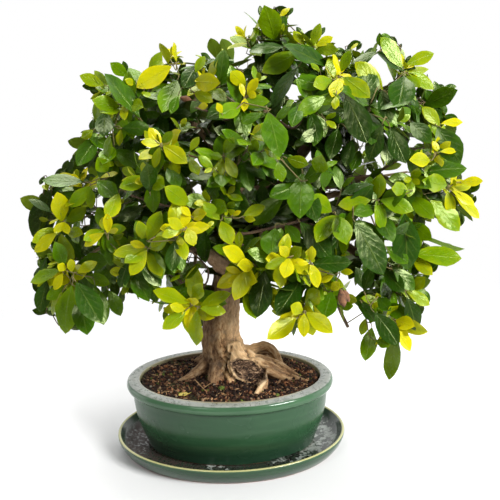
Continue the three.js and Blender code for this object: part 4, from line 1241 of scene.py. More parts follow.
def make_fibres():
    """Short bits of root and bark strewn over the soil."""
    lines = []
    for number in range(FIBRE_COUNT):
        seed = 700 + 13 * number
        x, y = strewn(0.35 + 0.6 * math.sqrt(draw(seed)), seed)
        lie = math.pi * draw(seed + 2)
        half = 1.5 + 4 * draw(seed + 3) ** 2
        ends = []
        for side in (-1, 0, 1):
            east = x + side * half * math.cos(lie)
            north = y + side * half * math.sin(lie) + 0.25 * half * (side == 0)
            if soil_reach(east, north) < 0.97:
                ends.append((Vector((east, north, soil_height(east, north) + 0.35)), 0.3))
        if len(ends) > 1:
            lines.append(ends)
    finish_piece("soil_fibres", stems(lines), [DRY_WOOD], "soil")


def make_moss():
    shape = bmesh.new()
    for number in range(MOSS_COUNT):
        seed = 900 + 11 * number
        x, y = strewn(0.5 + 0.46 * draw(seed), seed)
        size = 1.2 + 2.4 * draw(seed + 2) ** 2
        made = bmesh.ops.create_icosphere(shape, subdivisions=3, radius=size)
        place = Vector((x, y, soil_height(x, y) - 0.2 * size))
        for vert in made["verts"]:
            lift = 1 + 0.5 * noise.noise(vert.co * 1.1 + place)
            vert.co = place + Vector((vert.co.x * lift, vert.co.y * lift, vert.co.z * 0.6 * lift))
    finish_piece("moss_tufts", shape, [MOSS], "soil")


# Trunk, roots and limbs

def add_scar_lip(shape):
    """The raised rim that grew round the cut root."""
    lip = bmesh.new()
    upright = Matrix.Rotation(math.pi / 2, 4, "X")
    made = bmesh.ops.create_circle(
        lip, segments=10, radius=SCAR_LIP, matrix=Matrix.Translation((1, 0, 0)) @ upright)
    for vert in made["verts"]:
        vert.co = Vector((1, 0, 0)) + (vert.co - Vector((1, 0, 0))) / SCAR_HALF_WIDTH
    bmesh.ops.spin(
        lip, geom=lip.verts[:] + lip.edges[:], cent=(0, 0, 0), axis=(0, 0, 1),
        angle=2 * math.pi, steps=40, use_merge=True)
    bmesh.ops.recalc_face_normals(lip, faces=lip.faces)
    place = Matrix.Translation(SCAR_MIDDLE - SCAR_LIP_SET_BACK * SCAR_FACING) @ SCAR_TURN.to_4x4()
    stretch = Matrix.Diagonal((SCAR_HALF_WIDTH, SCAR_HALF_LENGTH, SCAR_HALF_WIDTH, 1))
    bmesh.ops.transform(lip, matrix=place @ stretch, verts=lip.verts)
    add_shape(shape, lip)


def straightened(lines):
    """Frames along every limb, so a point on the bark can be told by its place in the limb."""
    frames = []
    for line in lines:
        level = Vector((0.2, 0.9, 0.3))
        length = 0
        for i, (place, radius) in enumerate(line):
            near = line[max(i - 1, 0)][0]
            far = line[min(i + 1, len(line) - 1)][0]
            along = (far - near).normalized()
            level = (level - along * level.dot(along)).normalized()
            length += (place - near).length if i else 0
            frames.append((place, radius, along, level, along.cross(level), length))
    finder = KDTree(len(frames))
    for i, frame_here in enumerate(frames):
        finder.insert(frame_here[0], i)
    finder.balance()
    return frames, finder


def place_in_limb(point, frames, finder):
    """The point in its straightened limb, and the limb's radius there."""
    best = min(finder.find_n(point, 10), key=lambda found: found[2] - frames[found[1]][1])
    place, radius, along, level, across, length = frames[best[1]]
    away = point - place
    return Vector((away.dot(level), away.dot(across), length + away.dot(along))), radius


def smooth_out(shape, passes):
    for _ in range(passes):
        bmesh.ops.smooth_vert(
            shape, verts=shape.verts, factor=0.5, use_axis_x=True, use_axis_y=True, use_axis_z=True)
    shape.normal_update()


def note_furrows(shape):
    """Keep on every point how far it lies below the bark round it, in millimetres."""
    furrow = shape.verts.layers.float.new("furrow")
    shape.normal_update()
    places = [vert.co.copy() for vert in shape.verts]
    facings = [vert.normal.copy() for vert in shape.verts]
    smooth_out(shape, FURROW_SMOOTHING)
    for vert, place, facing in zip(shape.verts, places, facings):
        vert[furrow] = (vert.co - place).dot(facing)
        vert.co = place


def cut_crevices(shape):
    """Deep cracks where the roots part from the trunk and from each other."""
    for vert in shape.verts:
        to_eye = EYE.translation - vert.co
        if not CREVICE_FOOT <= vert.co.z <= CREVICE_TOP or vert.normal.dot(to_eye) < 0:
            continue
        seen = Vector((*as_seen(vert.co), 0))
        for crack in CREVICES:
            for start, end in zip(crack, crack[1:]):
                start, end = Vector((*start, 0)), Vector((*end, 0))
                along = end - start
                share = max(0, min(1, (seen - start).dot(along) / along.length_squared))
                gap = (start + along * share - seen).length / CREVICE_WIDTH
                if gap < 1:
                    vert.co -= vert.normal * CREVICE_DEPTH * (1 - gap)


def make_tree():
    lines = [wood_line(points, 4) for points in [TRUNK, *ROOTS, *FINE_ROOTS, *LIMBS.values()]]
    shape = stems(lines, 3)
    add_scar_lip(shape)
    shape = with_modifier(shape, "REMESH", mode="VOXEL", voxel_size=WOOD_VOXEL)
    smooth_out(shape, BARK_SMOOTHING)
    fibre = shape.verts.layers.float_vector.new("fibre")
    hollow = shape.verts.layers.float.new("hollow")
    frames, finder = straightened(lines)
    for vert in shape.verts:
        inside, radius = place_in_limb(vert.co, frames, finder)
        vert[fibre] = inside * MM
        grain = Vector((inside.x, inside.y, inside.z * 0.22))
        ridge = noise.noise(grain / 3.4)
        fluting = noise.noise(Vector((inside.x, inside.y, inside.z * 0.3)) / 11)
        knot = noise.noise(vert.co / 8)
        flake = noise.noise(Vector((inside.x, inside.y, inside.z * 0.5)) / 2.2)
        vert.co += vert.normal * min(1, radius / 10) * (
            0.9 * ridge + 1.5 * fluting + 1.6 * knot + 0.7 * flake)
        seen = SCAR_TURN.transposed() @ (vert.co - SCAR_MIDDLE)
        spread = (seen.x / (SCAR_HALF_WIDTH - 1)) ** 2 + (seen.y / (SCAR_HALF_LENGTH - 1)) ** 2
        spread *= 1 + 0.35 * noise.noise(Vector((seen.x / 6, seen.y / 6, 5)))
        if spread < 1.25 and seen.z > -9:
            pit = noise.noise(vert.co / 2.2) + 0.6 * noise.noise(vert.co / 1.1)
            along_grain = noise.noise(Vector((seen.x / 1.6, seen.y / 5, 3)))
            floor = SCAR_LIP * 0.3 - (
                0.5 * SCAR_DEPTH + 1.4 * pit + 2 * along_grain) * math.sqrt(max(0, 1 - spread))
            if spread < 1 and seen.z > floor:
                vert.co -= SCAR_FACING * (seen.z - floor)
            vert[hollow] = max(0, min(1, (1.15 - spread) * 5))
    shape.normal_update()
    cut_crevices(shape)
    note_furrows(shape)
    finish_piece("trunk_roots_and_limbs", shape, [BARK], "bark", "tree")


# Leaves

def blade_width(share):
    """Width of the blade at a share of its length: a narrow foot, widest past the middle."""
    if not 0 < share < 1:
        return 0
    return max(math.sin(math.pi * share ** 1.2) ** 0.8, 0.09 if share < 0.2 else 0)


def leaf_blank(across, lengthwise):
    """One flat leaf, one long and two wide, with an upper and a lower skin that meet all round."""
    shape = bmesh.new()
    shape.loops.layers.uv.new("blade")
    bmesh.ops.create_grid(shape, x_segments=across, y_segments=lengthwise, size=1, calc_uvs=True)
    upper = shape.verts[:] + shape.edges[:] + shape.faces[:]
    copy = bmesh.ops.duplicate(shape, geom=upper)
    lower = [item for item in copy["geom"] if isinstance(item, bmesh.types.BMFace)]
    under = {item for item in copy["geom"] if isinstance(item, bmesh.types.BMVert)}
    bmesh.ops.reverse_faces(shape, faces=lower)
    for face in lower:
        face.material_index = 1
    for vert in shape.verts:
        share = (vert.co.y + 1) / 2
        share -= 0.06 * math.sin(2 * math.pi * share)
        width = blade_width(share) if 0.001 < share < 0.999 else 0
        body = (1 - vert.co.x ** 2) * min(1, 6 * width)
        vert.co = Vector((vert.co.x * width, share, -body if vert in under else body))
    bmesh.ops.remove_doubles(shape, verts=shape.verts, dist=0.0001)
    for edge in shape.edges:
        kinds = {face.material_index for face in edge.link_faces}
        edge.smooth = len(kinds) == 1
    return as_mesh("leaf_blank", shape)


LEAF_BLANK = leaf_blank(4, 8)
LARGE_LEAF_BLANK = leaf_blank(8, 16)


class Leaf:
    """Where a leaf grows, how it lies and how old it is."""

    def __init__(self, foot, along, up, length, half_width, arch, age, seed):
        self.foot = foot
        self.along = along
        self.up = up
        self.length = length
        self.half_width = half_width
        self.arch = arch
        self.age = max(0, min(1, age))
        self.seed = seed
        self.fold = 0.16 + 0.3 * draw(seed + 0.21)
        self.curl = 0.1 + 0.3 * draw(seed + 0.83)
        self.wave = 0.16 * draw(seed + 0.37)
        self.sway = 0.16 * (draw(seed + 0.71) - 0.5)

    def tip(self):
        return self.foot + self.along * self.length - self.up * self.arch * self.length

    def middle(self):
        return self.foot + self.along * self.length * 0.55 - self.up * self.arch * self.length * 0.3

    def spread(self):
        """Places all over the blade."""
        return [
            self.on_blade(Vector((aside * blade_width(share), share, 0)))
            for share in (0.08, 0.22, 0.36, 0.5, 0.64, 0.78, 0.92) for aside in (-0.85, -0.42, 0, 0.42, 0.85)]

    def on_blade(self, point):
        """Where a point of the blank comes to lie."""
        side = self.up.cross(self.along)
        aside = point.x * self.half_width
        share = point.y
        ripple = self.wave * abs(aside) * math.sin(9 * share + 20 * draw(self.seed + 0.11) + point.x)
        lift = self.fold * (abs(aside) - 0.25 * self.half_width * min(1, 4 * share)) + ripple
        lift -= self.curl * aside ** 2 / self.half_width
        lift += point.z * LEAF_THICKNESS / 2 - self.arch * self.length * share ** 2
        drift = aside + self.sway * self.length * (share ** 2 - share)
        return self.foot + side * drift + self.along * (share * self.length) + self.up * lift

    def turned(self, aside, lift):
        """The same leaf swung aside and lifted, in degrees."""
        side = self.up.cross(self.along)
        turn = Quaternion(self.up, math.radians(aside)) @ Quaternion(side, math.radians(-lift))
        return Leaf(
            self.foot, turn @ self.along, turn @ self.up, self.length, self.half_width,
            self.arch, self.age, self.seed)


def grow_leaf(foot, heading, off, pair, size, seed, ageing):
    """A leaf stands off its shoot, hangs a little, and turns its face to the light."""
    _, share, angle, age = pair
    aside = math.radians(16 * (draw(seed) - 0.5))
    angle = math.radians(angle + 14 * (draw(seed + 0.3) - 0.5))
    outwards = Quaternion(heading, aside) @ off
    along = heading * math.cos(angle) + outwards * math.sin(angle)
    along.z -= 0.1
    along.normalize()
    up = heading * math.sin(angle) - outwards * math.cos(angle)
    up.z += 0.45
    up += (foot - CANOPY_MIDDLE).normalized() * 0.35
    up = (up - along * up.dot(along)).normalized()
    length = LEAF_LENGTH * size * share * (0.88 + 0.24 * draw(seed + 0.6))
    half_width = length * (0.235 + 0.04 * draw(seed + 0.9))
    arch = 0.12 + 0.1 * draw(seed + 0.5)
    return Leaf(foot, along, up, length, half_width, arch, age + ageing, seed)


def across_shoot(heading, turn):
    """The two directions across a shoot, with its first leaf pair on the first of them."""
    level = heading.cross(Vector((0.3, 0.25, 0.92))).normalized()
    first = Quaternion(heading, math.radians(turn)) @ level
    return [first, heading.cross(first)]


def heading_of(start, end):
    heading = (end - start).normalized()
    heading.z += LEAN_TO_LIGHT
    return heading.normalized()


LEAF_BENDS = [(0, 0), (16, 0), (-16, 0), (0, 14), (0, -14), (26, -10), (-26, -10), (30, 16), (-30, 16)]


def corners_of(node):
    """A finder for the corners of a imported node, in millimetres."""
    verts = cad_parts[node].data.vertices
    finder = KDTree(len(verts))
    for vert in verts:
        finder.insert(vert.co / MM, vert.index)
    finder.balance()
    return finder


def held_as_packed(leaf, corners):
    """The leaf as the solid model holds it, or nothing where the solid model has none."""
    for aside, lift in LEAF_BENDS:
        way = leaf.turned(aside, lift)
        if corners.find(way.tip())[2] < SAME_PLACE:
            return way
    return None


class Canopy:
    """Every leaf so far, so that no two fill the same room."""

    def __init__(self):
        self.cells = {}
        low, high = cad_box
        self.low = low / MM - Vector((12, 12, 0))
        self.high = high / MM + Vector((12, 12, 8))

    def add(self, leaf):
        self.cells.setdefault(self.cell(leaf.middle()), []).append(leaf)

    def cell(self, point):
        return tuple(int(value // ROOM_CELL) for value in point)

    def is_within(self, leaf):
        ends = leaf.tip(), leaf.foot
        return all(self.low[i] < end[i] < self.high[i] for end in ends for i in range(3))

    def has_room(self, leaf, clearance):
        if not self.is_within(leaf):
            return False
        middle = leaf.middle()
        x, y, z = self.cell(middle)
        around = (-1, 0, 1)
        for key in [(x + i, y + j, z + k) for i in around for j in around for k in around]:
            for other in self.cells.get(key, []):
                near = (other.middle() - middle).length
                if near < clearance * (0.5 + 0.5 * min(leaf.length, other.length) / LEAF_LENGTH):
                    return False
        return True


CANOPY = Canopy()


class Face:
    """The crown as the photograph shows it, cell by cell of the picture: how near its leaves come.

    packed holds the leaves of the solid model, and shown those that the photograph shows."""

    def __init__(self):
        self.packed = {}
        self.shown = {}
        self.open_cells = set()

    @staticmethod
    def cell(point):
        right, down = as_seen(point)
        return int(right // FACE_CELL), int(down // FACE_CELL)

    def mark(self, leaf, depths):
        for point in leaf.spread():
            cell = self.cell(point)
            depths[cell] = min(depths.get(cell, point.y), point.y)

    def hidden_share(self, leaf, depths):
        """How much of a leaf lies behind the marked ones."""
        points = leaf.spread()
        behind = [point for point in points if depths.get(self.cell(point), point.y) < point.y - 0.4]
        return len(behind) / len(points)

    def open_up(self):
        """Note the cells that finer leaves may take: inside the outline or beside a shown leaf,
        and in none of the gaps."""
        span = range(PICTURE_SIZE // FACE_CELL)
        for x in span:
            for y in span:
                if is_inside((x + 0.5) * FACE_CELL, (y + 0.5) * FACE_CELL, CROWN_OUTLINE):
                    self.open_cells.add((x, y))
        around = (-1, 0, 1)
        for x, y in self.shown:
            self.open_cells.update((x + i, y + j) for i in around for j in around)
        for right, down, radius in SKY_GAPS:
            for cell in list(self.open_cells):
                x, y = ((value + 0.5) * FACE_CELL for value in cell)
                if math.hypot(x - right, y - down) < radius and cell not in self.shown:
                    self.open_cells.discard(cell)

    def lets_in(self, leaf):
        """Whether a leaf stays inside the crown's outline and hides no leaf that shows."""
        for point in leaf.spread():
            cell = self.cell(point)
            if cell not in self.open_cells or self.shown.get(cell, point.y) > point.y + 0.5:
                return False
        return True


def is_inside(x, y, outline):
    """Whether a point lies in a closed outline."""
    inside = False
    for (x1, y1), (x2, y2) in zip(outline, outline[1:] + outline[:1]):
        if (y1 > y) != (y2 > y) and x < x1 + (y - y1) * (x2 - x1) / (y2 - y1):
            inside = not inside
    return inside


# The cells that the picture is divided into, in pixels
FACE_CELL = 3
# Shade leaves: the depth y whose twigs come first, how much a millimetre of depth counts against
# a pixel, the reach to a twig, the columns and rows that are filled, and how far apart, in pixels
SHADE_DEPTH = 25
DEPTH_COUNTS = 0.4
FURTHEST_TWIG = 26
SHADE_COLUMNS = (30, 480)
SHADE_ROWS = (12, 380)
SHADE_APART = 7
FACE = Face()


class Shoot:
    """A twig from start to tip with leaf pairs at their distances from its tip."""

    def __init__(self, start, tip, turn, size, thickness):
        self.start = start
        self.tip = tip
        self.heading = heading_of(start, tip)
        self.across = across_shoot(self.heading, turn)
        self.size = size
        self.thickness = thickness
        self.leaves = []
        self.young_leaves = []

    def on_twig(self, from_tip):
        """A place on the twig: straight along the heading at first, then on to the start."""
        station = self.tip - self.heading * FIRST_STATION
        if from_tip <= FIRST_STATION:
            return self.tip - self.heading * from_tip
        rest = (self.start - station).length
        return station.lerp(self.start, min(1, (from_tip - FIRST_STATION) / max(rest, 1)))

    def length(self):
        return FIRST_STATION + (self.start - self.on_twig(FIRST_STATION)).length

    def line(self, first, last):
        """Points and radii of the twig between two distances from the tip."""
        points = []
        count = max(2, round((first - last) / 8))
        for step in range(count + 1):
            from_tip = first + (last - first) * step / count
            radius = self.thickness * (0.45 + 0.55 * min(1, from_tip / 40))
            points.append((self.on_twig(from_tip), radius))
        return points


def pairs_on(shoot, pairs, seed, ageing, keep):
    """Grow leaf pairs on a shoot; keep decides on each leaf."""
    grown = []
    for order, pair in enumerate(pairs):
        for half in (0, 2):
            seed += 1
            face = (order + half) % 4
            off = shoot.across[face % 2] * (1 if face < 2 else -1)
            foot = shoot.tip - shoot.heading * pair[0]
            if pair[0] > FIRST_STATION:
                foot = shoot.on_twig(pair[0])
            leaf = keep(grow_leaf(foot, shoot.heading, off, pair, shoot.size, seed, ageing), order)
            if leaf:
                grown.append(leaf)
    return grown


def with_room(clearance):
    def keep(leaf, _):
        if leaf.length > 3 and CANOPY.has_room(leaf, clearance) and FACE.lets_in(leaf):
            CANOPY.add(leaf)
            return leaf
        return None
    return keep


def add_leaves(shape, leaves, blank=LEAF_BLANK):
    """Lay every leaf into the shape, with its age on each point."""
    age = shape.verts.layers.float.get("age") or shape.verts.layers.float.new("age")
    for leaf in leaves:
        first = len(shape.verts)
        shape.from_mesh(blank)
        shape.verts.ensure_lookup_table()
        for vert in shape.verts[first:]:
            vert.co = leaf.on_blade(vert.co)
            vert[age] = leaf.age


def foliage(leaves, wood):
    """Leaves and the wood that carries them, as one shape. The leaves come first."""
    shape = bmesh.new()
    shape.verts.layers.float.new("age")
    shape.loops.layers.uv.new("blade")
    add_leaves(shape, leaves)
    add_shape(shape, wood)
    return shape


def leafy_piece(name, node, slot, leaves, lines, wood_age):
    wood = stems(lines)
    for face in wood.faces:
        face.material_index = 2
    age = wood.verts.layers.float.new("age")
    for vert in wood.verts:
        vert[age] = wood_age
    materials = [LEAF_TOP, LEAF_UNDER, TWIG]
    finish_piece(name, foliage(leaves, wood), materials, slot, *([node] if node else []))


def packed_sprays():
    """The shoots of every spray, with the leaves that the solid model has."""
    seed = 1
    sprays = []
    for name, (limb, share, fork, ageing, tips) in SPRAYS.items():
        corners = corners_of(f"spray_{name}")
        fork = Vector(fork)
        shoots = []
        for number, (x, y, z, turn, size, is_golden) in enumerate(tips, 1):
            shoot = Shoot(fork, Vector((x, y, z)), turn, size, TWIG_RADIUS)
            shoot.is_golden = is_golden
            shoot.golden_node = f"golden_{name}_{number}"
            golden = corners_of(shoot.golden_node) if is_golden else None

            def as_packed(leaf, order, golden=golden, corners=corners):
                if order < 2:
                    return held_as_packed(leaf, golden) if golden else None
                return held_as_packed(leaf, corners)

            younger = ageing - (0.26 if is_golden else 0)
            found = pairs_on(shoot, LEAF_PAIRS, seed, younger, as_packed)
            for leaf in found:
                CANOPY.add(leaf)
                FACE.mark(leaf, FACE.packed)
                own = (leaf.foot - shoot.tip).length < GOLDEN_LENGTH
                (shoot.young_leaves if own else shoot.leaves).append(leaf)
            shoot.seed = seed
            seed += 8
            shoots.append(shoot)
        line_on_limb = wood_line(LIMBS[limb], 2)
        on_limb = line_on_limb[round(share * (len(line_on_limb) - 1))][0]
        stalk = evenly([(on_limb, STALK_RADIUS), (fork, 1.1)], 6)
        sprays.append((name, ageing, stalk, shoots))
    return sprays


def shown_leaf(row, depth, seed):
    """The leaf whose foot, tip and width look as the row says. What a blade falls short of its
    natural shape is turned away from the camera: along it or round it."""
    foot = seen_at(row.foot_x, row.foot_y, depth)
    reach = seen_at(row.tip_x, row.tip_y, depth) - foot
    to_eye = EYE.translation - foot
    wide = row.width * to_eye.length / EYE_LENS
    to_eye.normalize()
    length = max(reach.length, min(wide / BLADE_RATIO, 1.4 * reach.length))
    way = (reach + to_eye * math.sqrt(length ** 2 - reach.length ** 2)).normalized()
    level = (to_eye - way * to_eye.dot(way)).normalized()
    roll = min(1, math.acos(min(1, wide / (BLADE_RATIO * length))))
    roll = max(roll, 0.3 * draw(seed + 0.4))
    up = max((Quaternion(way, side * roll) @ level for side in (-1, 1)), key=lambda facing: facing.z)
    arch = 0.06 + 0.12 * draw(seed + 0.5)
    droop = math.atan(arch)
    along = way * math.cos(droop) + up * math.sin(droop)
    facing = up * math.cos(droop) - way * math.sin(droop)
    half_width = 0.5 * max(BLADE_RATIO * length, wide)
    return Leaf(foot, along, facing, length * math.cos(droop), half_width, arch, row.age, seed)


def place_shown_leaves():
    """Hang the leaves that show, from the back to the front. A leaf that something would hide
    comes forward until it is clear."""
    rows = [(name, row) for name, group in SHOWN_LEAVES.items() for row in map(ShownLeaf._make, group)]
    rows.sort(key=lambda item: -item[1].depth)
    placed = {name: [] for name in SHOWN_LEAVES}
    for number, (name, row) in enumerate(rows):
        depth = row.depth
        leaf = shown_leaf(row, depth, 7000 + 3 * number)
        while leaf.tip().y > FACE_FRONT and leaf.foot.y > FACE_FRONT and (
                FACE.hidden_share(leaf, FACE.packed) > 0.1
                or FACE.hidden_share(leaf, FACE.shown) > 0.06):
            depth -= STEP_FORWARD
            leaf = shown_leaf(row, depth, 7000 + 3 * number)
        FACE.mark(leaf, FACE.shown)
        CANOPY.add(leaf)
        placed[name].append(leaf)
    FACE.open_up()
    return placed


def grow_back(foot, away, radius, wood, furthest=400):
    """A thin stem that leaves a foot along away and runs back to the nearest wood."""
    nearest = min(wood, key=lambda place: (place - foot).length + 3 * max(0, foot.y + 2 - place.y))
    gap = (nearest - foot).length
    if gap < 0.5 or gap > furthest:
        return None
    bend = foot + away * min(7, 0.4 * gap)
    line = wood_line([(*foot, radius), (*bend, 1.15 * radius), (*nearest, 1.4 * radius)], 4)
    wood += [place for place, _ in line]
    return line


def side_shoots_of(shoot, ageing):
    """Short shoots from the leaf joints of a shoot."""
    found = []
    for k, from_tip in enumerate((21, 32, 43)):
        if from_tip > shoot.length() - 3:
            continue
        seed = shoot.seed + 4000 + 100 * k
        turn = Quaternion(shoot.heading, 2 * math.pi * (draw(seed) + 0.3 * k))
        way = (shoot.heading * 0.75 + turn @ shoot.across[0] + Vector((0, 0, 0.25))).normalized()
        start = shoot.on_twig(from_tip)
        reach = 17 + 14 * draw(seed + 1)
        side = Shoot(start, start + way * reach, 90 * draw(seed + 2), 0.95 * shoot.size, 0.6)
        side.leaves = pairs_on(side, SIDE_PAIRS, seed, ageing + 0.1, with_room(5))
        if len(side.leaves) > 2:
            found.append(side)
    return found


def make_sprays(sprays):
    """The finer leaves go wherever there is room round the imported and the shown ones."""
    for _, ageing, _, shoots in sprays:
        for shoot in shoots:
            if not shoot.is_golden:
                shoot.leaves += pairs_on(
                    shoot, LEAF_PAIRS[:2], shoot.seed + 2000, ageing, with_room(2.5))
            older = [pair for pair in OLDER_PAIRS if pair[0] < shoot.length() - 4]
            shoot.leaves += pairs_on(
                shoot, older, shoot.seed + 3000, ageing - 0.12 * shoot.is_golden, with_room(5))
    for name, ageing, stalk, shoots in sprays:
        side_shoots = [side for shoot in shoots for side in side_shoots_of(shoot, ageing)]
        lines = [stalk]
        leaves = []
        for shoot in shoots:
            last = GOLDEN_LENGTH + SEAT_GAP if shoot.is_golden else 0.7
            lines.append(shoot.line(shoot.length(), last))
            leaves += shoot.leaves
            if shoot.is_golden:
                leafy_piece(
                    f"young_shoot_{shoot.golden_node[7:]}", shoot.golden_node, "golden_leaf",
                    shoot.young_leaves, [shoot.line(GOLDEN_LENGTH, 0.7)], 0)
        for side in side_shoots:
            lines.append(side.line(max(side.length(), 5), 0.7))
            leaves += side.leaves
        leafy_piece(f"leafy_{name}", f"spray_{name}", "leaf", leaves, lines, 0.55)


def make_shown_leaves(placed, wood):
    for name, leaves in placed.items():
        lines = [grow_back(leaf.foot, -leaf.along, LEAF_STALK_RADIUS, wood) for leaf in leaves]
        leafy_piece(f"face_leaves_{name}", None, "leaf", leaves, [line for line in lines if line], 0.45)


def make_shown_twigs(wood):
    lines = []
    for twig in SHOWN_TWIGS:
        places = [seen_at(right, down, twig.depth) for right, down in twig.places]
        start = min(wood, key=lambda place: (place - places[0]).length)
        points = [(*start, 1.5 * twig.radius)] + [
            (*place, twig.radius * (1.2 - 0.12 * k)) for k, place in enumerate(places)]
        line = wood_line(points, 4)
        wood += [place for place, _ in line]
        lines.append(line)
    leafy_piece("bare_twigs", None, "bark", [], lines, 1)


def make_inner_shoots():
    """Old dark leaves on short shoots along the limbs, in the shade of the crown."""
    for number, (name, points) in enumerate(LIMBS.items()):
        line = wood_line(points, 2)
        shoots = []
        for k, start in enumerate(line[round(0.3 * len(line))::4]):
            seed = 9000 + 200 * number + 10 * k
            away = Vector((draw(seed) - 0.5, draw(seed + 1) - 0.5, 0.8 * draw(seed + 2) - 0.25)).normalized()
            reach = 20 + 22 * draw(seed + 3)
            side = Shoot(start[0], start[0] + away * reach, 90 * draw(seed + 4), 1.1, 0.7)
            side.leaves = pairs_on(side, [*SIDE_PAIRS[1:], *OLDER_PAIRS[:1]], seed, 0.34, with_room(4.5))
            if len(side.leaves) > 1:
                shoots.append(side)
        leafy_piece(
            f"inner_shoots_{name}", None, "leaf", [leaf for side in shoots for leaf in side.leaves],
            [side.line(side.length(), 0.7) for side in shoots], 0.85)


def shows_backdrop(right, down):
    """Whether the camera would look past everything that is made so far, at a pixel."""
    start = EYE.translation * MM
    way = (seen_at(right, down, 0) * MM - start).normalized()
    depsgraph = bpy.context.evaluated_depsgraph_get()
    return not bpy.context.scene.ray_cast(depsgraph, start, way)[0]


def seen_finder(wood):
    """A finder for the twig that the camera sees nearest to a pixel, the middle depths first."""
    finder = KDTree(len(wood))
    for number, place in enumerate(wood):
        finder.insert((*as_seen(place), DEPTH_COUNTS * place.y), number)
    finder.balance()
    return finder


def shade_leaf(x, y, seed, wood, finder):
    """A dark leaf that fills a pixel, on the twig nearest to it, and its stem."""
    (right, down, _), number, away = finder.find((x, y, DEPTH_COUNTS * SHADE_DEPTH))
    if away > FURTHEST_TWIG:
        return None
    bearing = math.atan2(y - down, x - right)
    for attempt, aside in enumerate((0, 0.5, -0.5, 1, -1, 1.6, -1.6)):
        turn = bearing + aside
        reach = (6 + 6 * draw(seed + 3)) * (1 - 0.07 * attempt)
        step_right, step_down = reach * math.cos(turn), reach * math.sin(turn)
        row = ShownLeaf(
            x - step_right, y - step_down, x + step_right, y + step_down,
            reach * (0.85 + 0.3 * draw(seed + 4)), wood[number].y + 2 + 6 * draw(seed + 1.5),
            0.65 + 0.35 * draw(seed + 2.5))
        leaf = shown_leaf(row, row.depth, seed)
        if not (FACE.lets_in(leaf) and CANOPY.is_within(leaf)):
            continue
        known = len(wood)
        line = grow_back(leaf.foot, -leaf.along, LEAF_STALK_RADIUS, wood, FURTHEST_TWIG)
        if line and all(FACE.cell(place) in FACE.open_cells for place, _ in line):
            return leaf, line
        del wood[known:]
    return None


def make_shade_leaves(wood):
    """Dark leaves on the inner twigs, wherever the crown would otherwise let the backdrop through."""
    for layer, spacing in (("first", 7), ("second", 5), ("third", 4)):
        found = []
        finder = seen_finder(wood)
        for x in range(*SHADE_COLUMNS, spacing):
            for y in range(*SHADE_ROWS, spacing):
                taken = any(
                    abs(x - right) + abs(y - down) < SHADE_APART
                    for right, down in (as_seen(leaf.middle()) for leaf, _ in found[-40:]))
                is_open = (x // FACE_CELL, y // FACE_CELL) in FACE.open_cells
                if is_open and not taken and shows_backdrop(x, y):
                    made = shade_leaf(x, y, 20000 + 500 * x + y + 7 * spacing, wood, finder)
                    if made:
                        found.append(made)
        leafy_piece(
            f"shade_leaves_{layer}", None, "leaf", [leaf for leaf, _ in found],
            [line for _, line in found], 0.9)


def make_dead_leaves(wood):
    """Leaves that dried and curled on their twigs."""
    leaves = []
    lines = []
    for number, row in enumerate(DEAD_LEAVES):
        leaf = shown_leaf(row, row.depth, 640 + number)
        leaf.curl = 1.1
        leaf.wave = 0.5
        leaf.arch = 0.5
        leaves.append(leaf)
        lines.append(grow_back(leaf.foot, -leaf.along, 0.5, wood))
    wood = stems([line for line in lines if line])
    finish_piece("dead_leaves", foliage(leaves, wood), [DEAD_LEAF, DEAD_LEAF], "dry_leaf")


def make_foliage():
    sprays = packed_sprays()
    placed = place_shown_leaves()
    make_sprays(sprays)
    make_inner_shoots()
    wood = [place for points in LIMBS.values() for place, _ in wood_line(points, 5)]
    for _, _, stalk, shoots in sprays:
        wood += [place for place, _ in stalk]
        wood += [place for shoot in shoots for place, _ in shoot.line(shoot.length(), 4)]
    make_shown_twigs(wood)
    make_shown_leaves(placed, wood)
    make_dead_leaves(wood)
    make_shade_leaves(wood)


# What lies on the soil

def make_dropped():
    leaf = Leaf(DROPPED_LEAF_FOOT, DROPPED_LEAF_ALONG, Vector((0, 0, 1)), 15, 4.5, 0.08, 0, 77)
    leaf.foot = leaf.foot + Vector((0, 0, soil_height(-45, -45) + 1.6 - leaf.foot.z))
    shape = bmesh.new()
    add_leaves(shape, [leaf], LARGE_LEAF_BLANK)
    finish_piece("dropped_leaf", shape, [FALLEN_LEAF, FALLEN_LEAF], "dry_leaf", "fallen_leaf")
    shape = stems([evenly([(Vector(point), 0.55) for point in DROPPED_TWIG], 3)])
    finish_piece("dropped_twig", shape, [DRY_WOOD], "dry_twig", "fallen_twig")


make_pot()
make_saucer()
for screen in ("drain_screen_left", "drain_screen_right"):
    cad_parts[screen].data.materials.clear()
    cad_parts[screen].data.materials.append(SCREEN_MESH)
make_soil()
make_crumbs()
make_fibres()
make_moss()
make_tree()
make_foliage()
make_dropped()


# Studio

def floor_finish():
    """White paper that fades out into the white background."""
    paint = Finish("white_studio_floor")
    east, north, _ = paint.apart(paint.place())
    far = paint.step((east ** 2 + north ** 2) ** 0.5, 0.3, 0.8)
    gone = paint.node("ShaderNodeBsdfTransparent", {}, {})
    paper = paint.surface({"Base Color": (0.76, 0.76, 0.76, 1), "Roughness": 0.9})
    return paint.done(paint.node("ShaderNodeMixShader", {}, {0: far, 1: paper, 2: gone}))


def make_floor():
    shape = bmesh.new()
    bmesh.ops.create_circle(shape, cap_ends=True, segments=96, radius=4)
    mesh = as_mesh("studio_floor", shape)
    mesh.materials.append(floor_finish())
    floor = as_object("studio_floor", mesh)


def add_light(name, place, size, watts, colour=(1, 1, 1)):
    """A soft square light that faces the middle of the tree."""
    light = bpy.data.lights.new(name, "AREA")
    light.size = size
    light.energy = watts
    light.color = colour
    lamp = as_object(name, light)
    lamp.location = place
    lamp.rotation_euler = (Vector(place) - Vector((0, 0, 0.2))).to_track_quat("Z", "Y").to_euler()


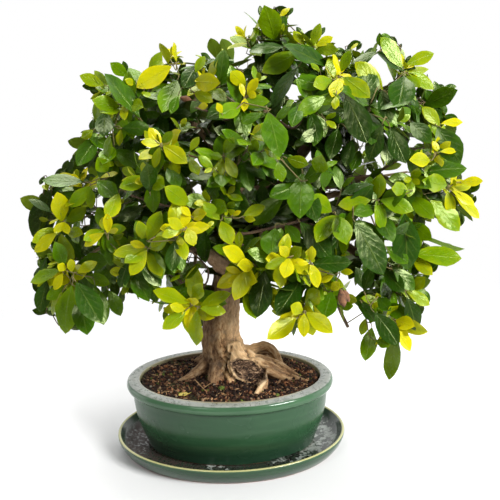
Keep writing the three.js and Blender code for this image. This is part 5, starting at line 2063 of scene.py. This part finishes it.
make_floor()
add_light("window_light", (1.3, -1.15, 1.05), 0.8, 66)
add_light("front_light", (-0.7, -1.4, 1.2), 0.5, 6)
add_light("top_light", (-0.2, 0.3, 1.7), 1.0, 26)
add_light("right_panel", (1.5, 0.2, 0.35), 0.9, 5)
add_light("left_panel", (-1.5, 0.2, 0.35), 0.9, 4)

sky = bpy.data.worlds.new("white_studio")
sky.use_nodes = True
tree = sky.node_tree
lit_by = tree.nodes["Background"]
apart = tree.nodes.new("ShaderNodeSeparateXYZ")
tree.links.new(tree.nodes.new("ShaderNodeTexCoord").outputs["Generated"], apart.inputs[0])
towards_back = tree.nodes.new("ShaderNodeMapRange")
for name, value in (("From Min", -0.2), ("From Max", 0.7), ("To Min", 0.12), ("To Max", 0.9)):
    towards_back.inputs[name].default_value = value
tree.links.new(apart.outputs["Y"], towards_back.inputs["Value"])
paths = tree.nodes.new("ShaderNodeLightPath")
gloss = tree.nodes.new("ShaderNodeMath")
gloss.operation = "MULTIPLY_ADD"
gloss.inputs[1].default_value = 0.6
gloss.inputs[2].default_value = 1
tree.links.new(paths.outputs["Is Glossy Ray"], gloss.inputs[0])
strength = tree.nodes.new("ShaderNodeMath")
strength.operation = "MULTIPLY"
tree.links.new(towards_back.outputs[0], strength.inputs[0])
tree.links.new(gloss.outputs[0], strength.inputs[1])
tree.links.new(strength.outputs[0], lit_by.inputs["Strength"])
backdrop = tree.nodes.new("ShaderNodeBackground")
mix = tree.nodes.new("ShaderNodeMixShader")
for light in (lit_by, backdrop):
    light.inputs["Color"].default_value = (1, 1, 1, 1)
tree.links.new(paths.outputs["Is Camera Ray"], mix.inputs[0])
tree.links.new(lit_by.outputs[0], mix.inputs[1])
tree.links.new(backdrop.outputs[0], mix.inputs[2])
tree.links.new(mix.outputs[0], tree.nodes["World Output"].inputs["Surface"])
bpy.context.scene.world = sky
bpy.context.scene.view_settings.view_transform = "Standard"

lens = bpy.data.cameras.new("camera")
lens.sensor_width = 36
lens.lens = EYE_LENS / PICTURE_SIZE * lens.sensor_width
lens.clip_start = 0.01
camera = as_object("camera", lens)
camera.matrix_world = Matrix.Translation(EYE.translation * MM) @ EYE.to_3x3().to_4x4()
bpy.context.scene.camera = camera
